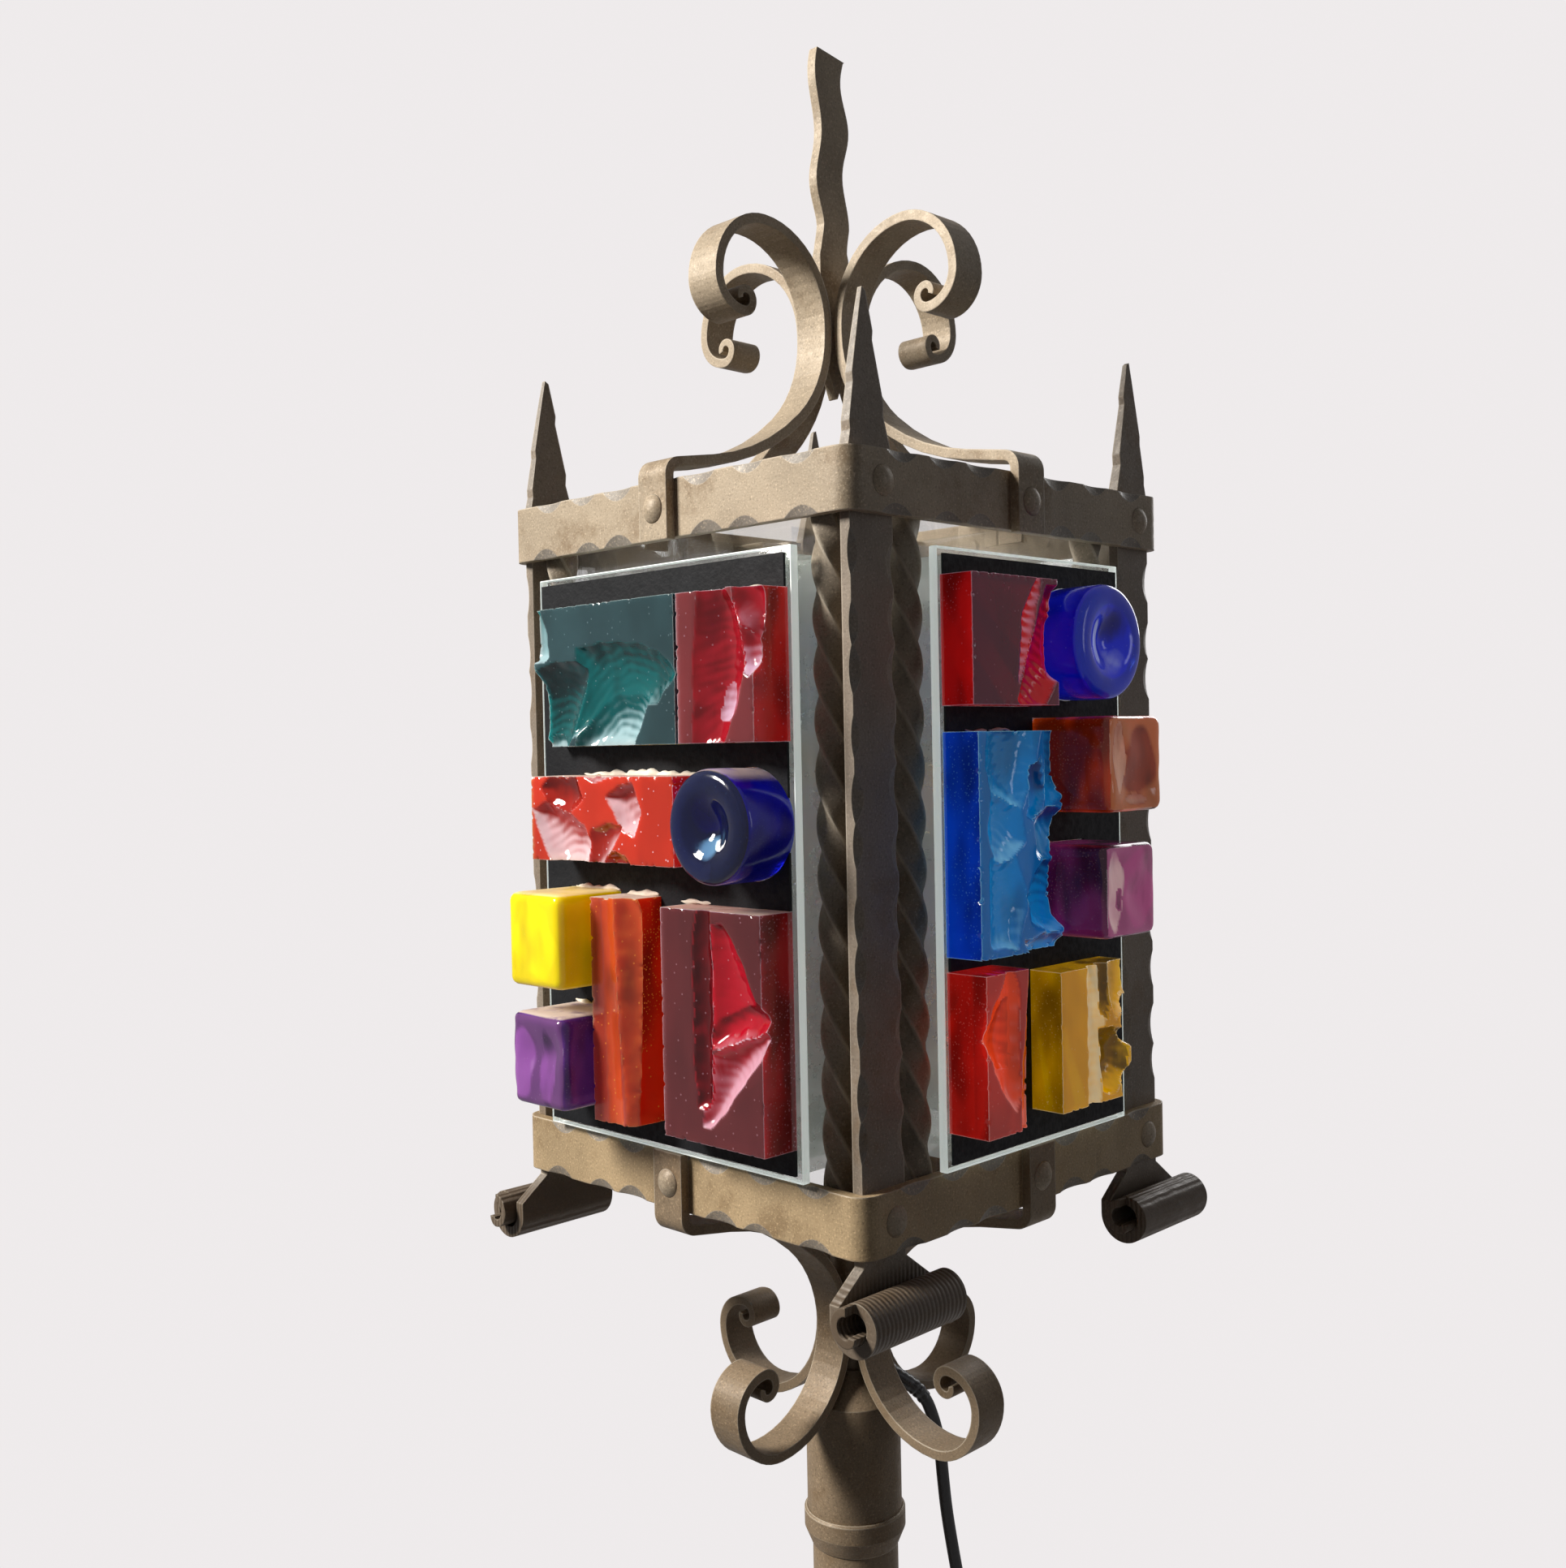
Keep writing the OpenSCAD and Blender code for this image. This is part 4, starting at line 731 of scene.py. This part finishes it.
AZURE = [
    (0.15, 5, 9, 0.1, [(28, 58), (8, 65), (4, 76), (6, 95), (43, 95), (37, 76)]),
    (-0.3, 6, 8, 0.1, [(44, 58), (43, 95), (63, 95), (63, 69), (54, 62)]),
    (-0.6, 7, 5, 0, [(38, 52), (31, 56), (35, 76), (41, 80), (44, 66)]),
    (0.35, 5, 8, 0.1, [(10, 36), (5, 50), (8, 67), (28, 59), (30, 46), (22, 38)]),
    (-0.1, 7, 8, 0.1, [(38, 38), (36, 54), (46, 60), (63, 56), (63, 34), (50, 32)]),
    (-0.2, 8, 9, 0.15, [(46, 6), (33, 13), (31, 24), (36, 33), (50, 42), (64, 40), (64, 10)]),
    (0.3, 4, 7, 0.1, [(24, 2), (6, 4), (6, 40), (24, 39), (32, 22)]),
    (0.1, 6, 6, 0, [(36, -5), (28, 4), (34, 13), (48, 8), (62, 10), (62, -5)])]
CORAL = [
    (0.45, 6, 7, 0, [(17, 2), (8, 20), (-6, 36), (0, 45), (11, 68), (18, 68), (21.5, 58), (21.5, 14)]),
    (-0.25, 7.5, 7, 0.05, [(12, 20), (1, 37), (12, 56), (20.5, 60), (21, 24)]),
    (0.1, 3.5, 8, 0, [(36, -5), (19, -5), (21.5, 14), (21, 70), (36, 70)])]
OLIVE = [
    (1.0, 4, 7, 0.05, [(28, -5), (19, -5), (19, 65), (31, 65), (33, 40), (32, 20)]),
    (-0.9, 7, 5, 0, [(35, 34), (30, 38), (29, 65), (37, 65), (38, 44)]),
    (-0.9, 8, 7, 0.1, [(40, 2), (30, 4), (29, 34), (38, 32), (52, 31), (50, 10)]),
    (0.1, 5, 7, 0.1, [(40, 34), (36, 46), (36, 65), (60, 65), (60, 46)]),
    (-0.2, 10, 6, 0, [(48, 22), (44, 34), (48, 44), (62, 48), (62, 20)]),
    (0.2, 5, 5, 0, [(46, -5), (44, 8), (52, 14), (62, 14), (62, -5)])]
print(len(WIDE) + len(NARROW), "places, nine sets of scars")

# %% Strike the slabs
RAGGED = {"azure": 1.3, "coral": 1.1, "ember": 0.9, "orange": 0.9}      # how ragged the rims are, else PLAIN
PLAIN = 0.5
SEEN_CELL, HIDDEN_CELL = 0.8, 1.2      # cell sizes in mm, on the faces seen and on the hidden ones
# A slab: CAD node, face, place, glass and scars.
SLABS = [
    ("front_teal_slab", 0, "upper_left", "teal", TEAL),
    ("front_red_slab", 0, "upper_right", "red", RED),
    ("front_orange_slab", 0, "middle", "orange", ORANGE),
    ("front_orange_bar", 0, "bar", "ember", BAR),
    ("front_darkred_slab", 0, "lower_right", "wine", WINE),
    ("side_red_slab", 1, "upper_left", "crimson", CRIMSON),
    ("side_blue_slab", 1, "middle", "azure", AZURE),
    ("side_red_block", 1, "lower_left", "coral", CORAL),
    ("side_olive_block", 1, "lower_right", "olive", OLIVE),
    ("rear_red_blocks", 2, "upper_left", "red", ORANGE),
    ("rear_red_blocks", 2, "lower_right", "wine", WINE),
    ("rear_red_blocks", 3, "middle", "crimson", AZURE),
    ("rear_red_blocks", 3, "lower_right", "coral", OLIVE),
    ("rear_blue_blocks", 2, "upper_right", "azure", RED),
    ("rear_blue_blocks", 2, "bar", "royal", BAR),
    ("rear_blue_blocks", 3, "upper_left", "azure", CRIMSON),
    ("rear_blue_blocks", 3, "lower_left", "royal", CORAL),
    ("rear_amber_blocks", 2, "middle", "olive", ORANGE),
]
for count, (node, face, place, colour, scars) in enumerate(SLABS):
    left, bottom, width, height, depth = PLACES[face % 2][place]
    block = sawn_block(width, depth, height, SEEN_CELL if face < 2 else HIDDEN_CELL)
    bm = struck_slab(block, depth, scars, count, RAGGED.get(colour, PLAIN))
    glass_piece("%s_glass_%d" % (node, count), on_face(bm, face, left, bottom, depth), colour, node)
print(len(SLABS), "slabs struck")

# %% [markdown]
# ## Cast cubes
# The small cubes were poured in a mould: every edge is round, and the front sank as it cooled. A gridded block is
# rounded by pulling each point to a smaller box inside and pushing it out again by the radius. The sunk front is
# a shallow bowl with slow waves in it. Patches on the front say where the cube is painted darker as shade and where
# a pale painted reflection lies on it.

# %% Cubes
CUBE_CELL, CUBE_RADIUS = 1.1, 4        # millimetres


def cast_cube(width, depth, height, radius, sink, waves, seed, patches):
    bm = sawn_block(width, depth, height, CUBE_CELL)
    broken, look = (bm.verts.layers.float.new(layer) for layer in ("broken", "look"))
    for v in bm.verts:
        x, y, z = v.co
        core = Vector((min(max(x, radius), width - radius), max(y, radius), min(max(z, radius), height - radius)))
        out = v.co - core
        if out.length > radius:
            v.co = core + out.normalized() * radius
        u, w = 2 * x / width - 1, 2 * z / height - 1
        bowl = max(0, 1 - u ** 4) * max(0, 1 - w ** 4)
        front = max(0, 1 - y / (depth * 0.3))
        v.co.y += front * bowl * (sink + waves * noise.noise(Vector((x * 0.06, z * 0.06, seed))))
        for value, cu, cw, a, b in patches:
            near = ((u - cu) / a) ** 2 + ((w - cw) / b) ** 2
            near += 0.5 * noise.noise(Vector((x * 0.09, z * 0.09, seed + 9)))
            if near < 1:
                v[broken] = front * min(1, 4 * (1 - near))
                v[look] = value
        side = waves * 0.35 * noise.noise(Vector((y * 0.1, z * 0.1, seed + 5))) * (1 - y / depth)
        v.co.x += side * u ** 3
    return bm


# A patch: look, its middle across and up, and its half width and height, as shares of the front's half.
GLOW = [(0.0, 0, 0, 0.9, 0.9)]
VIOLET = [(0.35, -0.6, -0.1, 0.42, 0.8), (-0.35, 0.35, -0.1, 0.3, 0.95)]
AMBER = [(-0.1, 0.15, 0, 0.72, 0.82), (0.85, -0.55, 0.1, 0.24, 0.75), (0.3, 0.1, -0.75, 0.5, 0.16)]
ROSE = [(0.0, 0.3, 0, 0.7, 0.9), (0.95, -0.62, 0.05, 0.34, 0.9), (-0.5, -0.45, -0.15, 0.1, 0.25)]
# A cube: CAD node, face, place, glass, how deep its front sank, how high its waves are, and its patches.
CUBES = [
    ("front_yellow_cube", 0, "upper_cube", "yellow", 0.4, 0.5, GLOW),
    ("front_purple_cube", 0, "lower_cube", "violet", 1.2, 3, VIOLET),
    ("side_amber_cube", 1, "upper_cube", "amber", 2.4, 2.5, AMBER),
    ("side_pink_cube", 1, "lower_cube", "rose", 1.6, 3.2, ROSE),
    ("rear_amber_blocks", 2, "upper_cube", "yellow", 0.6, 1, GLOW),
    ("rear_amber_blocks", 2, "lower_cube", "amber", 1.5, 2.5, AMBER),
    ("rear_amber_blocks", 3, "upper_cube", "yellow", 1.5, 2, GLOW),
    ("rear_amber_blocks", 3, "lower_cube", "amber", 1.5, 2.5, VIOLET),
]
for count, (node, face, place, colour, sink, waves, patches) in enumerate(CUBES):
    left, bottom, width, height, depth = PLACES[face % 2][place]
    bm = cast_cube(width, depth, height, CUBE_RADIUS, sink, waves, count, patches)
    glass_piece("%s_cast_%d" % (node, count), on_face(bm, face, left, bottom, depth), colour, node, sharp=60)
print(len(CUBES), "cubes cast")

# %% [markdown]
# ## Roundels
# A roundel is a thick pressed disc with a round rim and a dish in its front. Its outline, from the middle of the
# dish over the rim to the plate, is a chain of points, and a full spin turns it into the disc. Patches in the dish
# say where it is painted darker as shade and where a painted reflection of a window lies in it.

# %% Roundels
def roundel(radius, depth, dish, dish_r, patches):
    outline = [(dish_r * i / 12, depth - dish * math.cos(math.radians(7.5 * i)) ** 1.6) for i in range(13)]
    outline += [(dish_r + 1.2, depth + 0.3), (radius - 4.6, depth + 0.35)]
    outline += [(radius - 4 + 4 * math.sin(math.radians(a)), depth - 4 + 4.1 * math.cos(math.radians(a)))
                for a in range(8, 91, 8)]
    outline += [(radius, depth * 0.5), (radius - 0.3, 0)]
    bm = bmesh.new()
    points = [bm.verts.new((r, -y, 0)) for r, y in outline]
    edges = [bm.edges.new(pair) for pair in zip(points, points[1:])]
    bmesh.ops.spin(bm, geom=points + edges, cent=(0, 0, 0), axis=(0, 1, 0), angle=math.tau, steps=96,
                   use_merge=True, use_duplicate=False)
    bmesh.ops.remove_doubles(bm, verts=bm.verts[:], dist=0.001)
    bmesh.ops.holes_fill(bm, edges=[e for e in bm.edges if e.is_boundary], sides=0)
    bmesh.ops.recalc_face_normals(bm, faces=bm.faces[:])
    sawn, broken = bm.faces.layers.float.new("sawn"), bm.verts.layers.float.new("broken")
    look = bm.verts.layers.float.new("look")
    for face in bm.faces:
        face[sawn] = float(abs(face.normal.y) < 0.4)
    for v in bm.verts:
        u, w = v.co.x / dish_r, v.co.z / dish_r
        v[broken] = float(math.hypot(u, w) < 1)
        for value, cu, cw, a, b in patches:
            near = 1 - ((u - cu) / a) ** 2 - ((w - cw) / b) ** 2
            v[look] += value * min(1, 1.4 * max(0, near))
    return bm


NAVY = [(-0.9, -0.2, 0.2, 0.5, 0.6), (0.6, -0.05, -0.5, 0.4, 0.45), (0.4, 0.45, 0, 0.2, 0.5)]
ROYAL = [(1.9, -0.45, 0.05, 0.36, 0.66), (-0.3, 0.25, 0.3, 0.4, 0.55), (0.3, 0.4, -0.35, 0.4, 0.35)]
DISH, RIM = 7, 8       # depth of the dish, and width of the rim round it
# A roundel: CAD node, face, (middle, height, radius, depth), glass and patches.
ROUNDELS = [
    ("front_blue_roundel", 0, (58.5, 168.5, 23, 27), "navy", NAVY),
    ("side_blue_roundel", 1, (21.5, 241.5, 24.5, 25), "royal", ROYAL),
    ("rear_blue_blocks", 2, (58.5, 168.5, 23, 27), "royal", NAVY),
    ("rear_amber_blocks", 3, (21.5, 241.5, 24.5, 25), "amber", ROYAL),
]
for count, (node, face, (middle, height, radius, depth), colour, patches) in enumerate(ROUNDELS):
    bm = roundel(radius, depth, DISH, radius - RIM, patches)
    glass_piece("%s_disc_%d" % (node, count), on_face(bm, face, middle, height, 0), colour, node, sharp=60)
print(len(ROUNDELS), "roundels")

# %% [markdown]
# ## Glue
# The maker bedded the blocks in a cream glue, and some was pressed out above them, where block meets filling. A bead
# is a sweep along the top edge of its block, whose thickness and height wander like a hand-squeezed line.

# %% Glue
glue_bm = bmesh.new()
BEAD_STEP = 1.5
# A bead: face, start and stop across it, height above the lower band, and half thickness.
BEADS = [(0, -50, 30, 188.8, 1.7), (0, -58, -26, 138.4, 1.5), (0, -22, 0, 136.8, 1.6), (0, 14, 34, 134.9, 1.8),
         (0, -60, -30, 85.8, 1.3), (0, 40, 78, 262.4, 0.8), (1, -50, -10, 204.3, 0.9), (2, -50, 30, 188.8, 1.4),
         (2, 24, 60, 134.8, 1.6), (3, -50, -12, 204.4, 1.1)]
for count, (face, start, stop, height, thick) in enumerate(BEADS):
    line, sizes, steps = [], [], round((stop - start) / BEAD_STEP)
    for i in range(steps + 1):
        x = start + (stop - start) * i / steps
        wander = [noise.noise(Vector((x * 0.17, count * 3.1, k))) for k in range(3)]
        end = min(1, 0.25 + 3 * i / steps, 0.25 + 3 * (steps - i) / steps)
        line.append(Vector((x, -1.2 + wander[0], height + 1.4 * wander[1])))
        sizes.append(max(0.35, thick * (1 + 1.1 * wander[2])) * end)
    bead = sweep(bmesh.new(), line, sizes, sides=10)
    add_to(glue_bm, on_face(bead, face, 0, 0, 0))
glue_bm.normal_update()
piece("glue_beads", glue_bm, glue, None, [], sharp=70)
print(len(BEADS), "beads of glue")

# %% [markdown]
# ## Plates with ground edges
# The plates were cut from 4 mm glass, and their edges ground on a wheel. Those edges show as bright strips all round
# the black filling, partly cloudy glass and partly a painted glow, so a plate has two finishes: clear faces and
# cloudy, glowing edges.

# %% Plates
PLATE_WIDTHS, PLATE_HEIGHT, PLATE_FOOT, PLATE_DEPTH = (164, 129), 252, 26.5, 4
# The ground edges carry a pale painted glow through their emission.
edge_glass = clear_finish("ground_edge", (0.88, 0.92, 0.91), 0.25, 0.9, 0.3, 0.42)
for face in range(4):
    bm = bmesh.new()
    bmesh.ops.create_cube(bm, size=1)
    bmesh.ops.scale(bm, vec=(PLATE_WIDTHS[face % 2], PLATE_DEPTH, PLATE_HEIGHT), verts=bm.verts[:])
    bmesh.ops.bevel(bm, geom=bm.edges[:], offset=0.5, offset_type="OFFSET", affect="EDGES", segments=2,
                    profile=0.5, material=-1)
    bm.normal_update()
    for f in bm.faces:
        f.material_index = int(abs(f.normal.y) < 0.95)
    bmesh.ops.translate(bm, vec=(0, PLATE_DEPTH / 2, PLATE_FOOT + PLATE_HEIGHT / 2), verts=bm.verts[:])
    plate = piece("plate_%d" % (face + 1), on_face(bm, face, 0, 0, 0), float_glass, "clear_glass",
                  ["block_plates"], sharp=40)
    plate.data.materials.append(edge_glass)
print("four plates")

# %% [markdown]
# ## Twisted bars
# A square bar heated and wrung has four ridges that wind round it, with faces that are smooth between them. The
# section is a square with broken corners. Spin turns and lifts it at once, step by step, which is what the
# blacksmith's wrench does.

# %% Twisted bars
def twisted_bar(side, length, step):
    bm = bmesh.new()
    bmesh.ops.create_circle(bm, cap_ends=True, segments=4, radius=side * math.sqrt(0.5),
                            matrix=Matrix.Rotation(math.radians(45), 4, "Z"))
    bmesh.ops.bevel(bm, geom=bm.verts[:], offset=0.55, offset_type="OFFSET", affect="VERTICES", segments=2,
                    profile=0.5, material=-1)
    steps = round(length / 1.8)
    bmesh.ops.spin(bm, geom=bm.verts[:] + bm.edges[:] + bm.faces[:], cent=(0, 0, 0), axis=(0, 0, 1),
                   dvec=(0, 0, length / steps), angle=math.radians(-90 * length / step), steps=steps)
    bmesh.ops.recalc_face_normals(bm, faces=bm.faces[:])
    return bm


BAR_SIDE, BAR_LENGTH, QUARTER_TURN, BAR_FOOT = 11, 308.5, 20.6, 1175
BAR_PLACES = ((87, 97.12), (97.12, 65))      # the bar beside a post on a wide face, and on a narrow one
bars = bmesh.new()
for across, off in BAR_PLACES:
    for sx in (-1, 1):
        for sy in (-1, 1):
            bm = twisted_bar(BAR_SIDE, BAR_LENGTH, QUARTER_TURN)
            bmesh.ops.translate(bm, vec=(sx * across, sy * off, BAR_FOOT), verts=bm.verts[:])
            bmesh.ops.scale(bm, vec=(MM, MM, MM), verts=bm.verts[:])
            add_to(bars, bm)
piece("twisted_bars", bars, shaded_twist_iron, "forged_iron", ["twist_bars"], sharp=40)
print("eight twisted bars")

# %% [markdown]
# ## End

# %% Finish
print("scene ready")
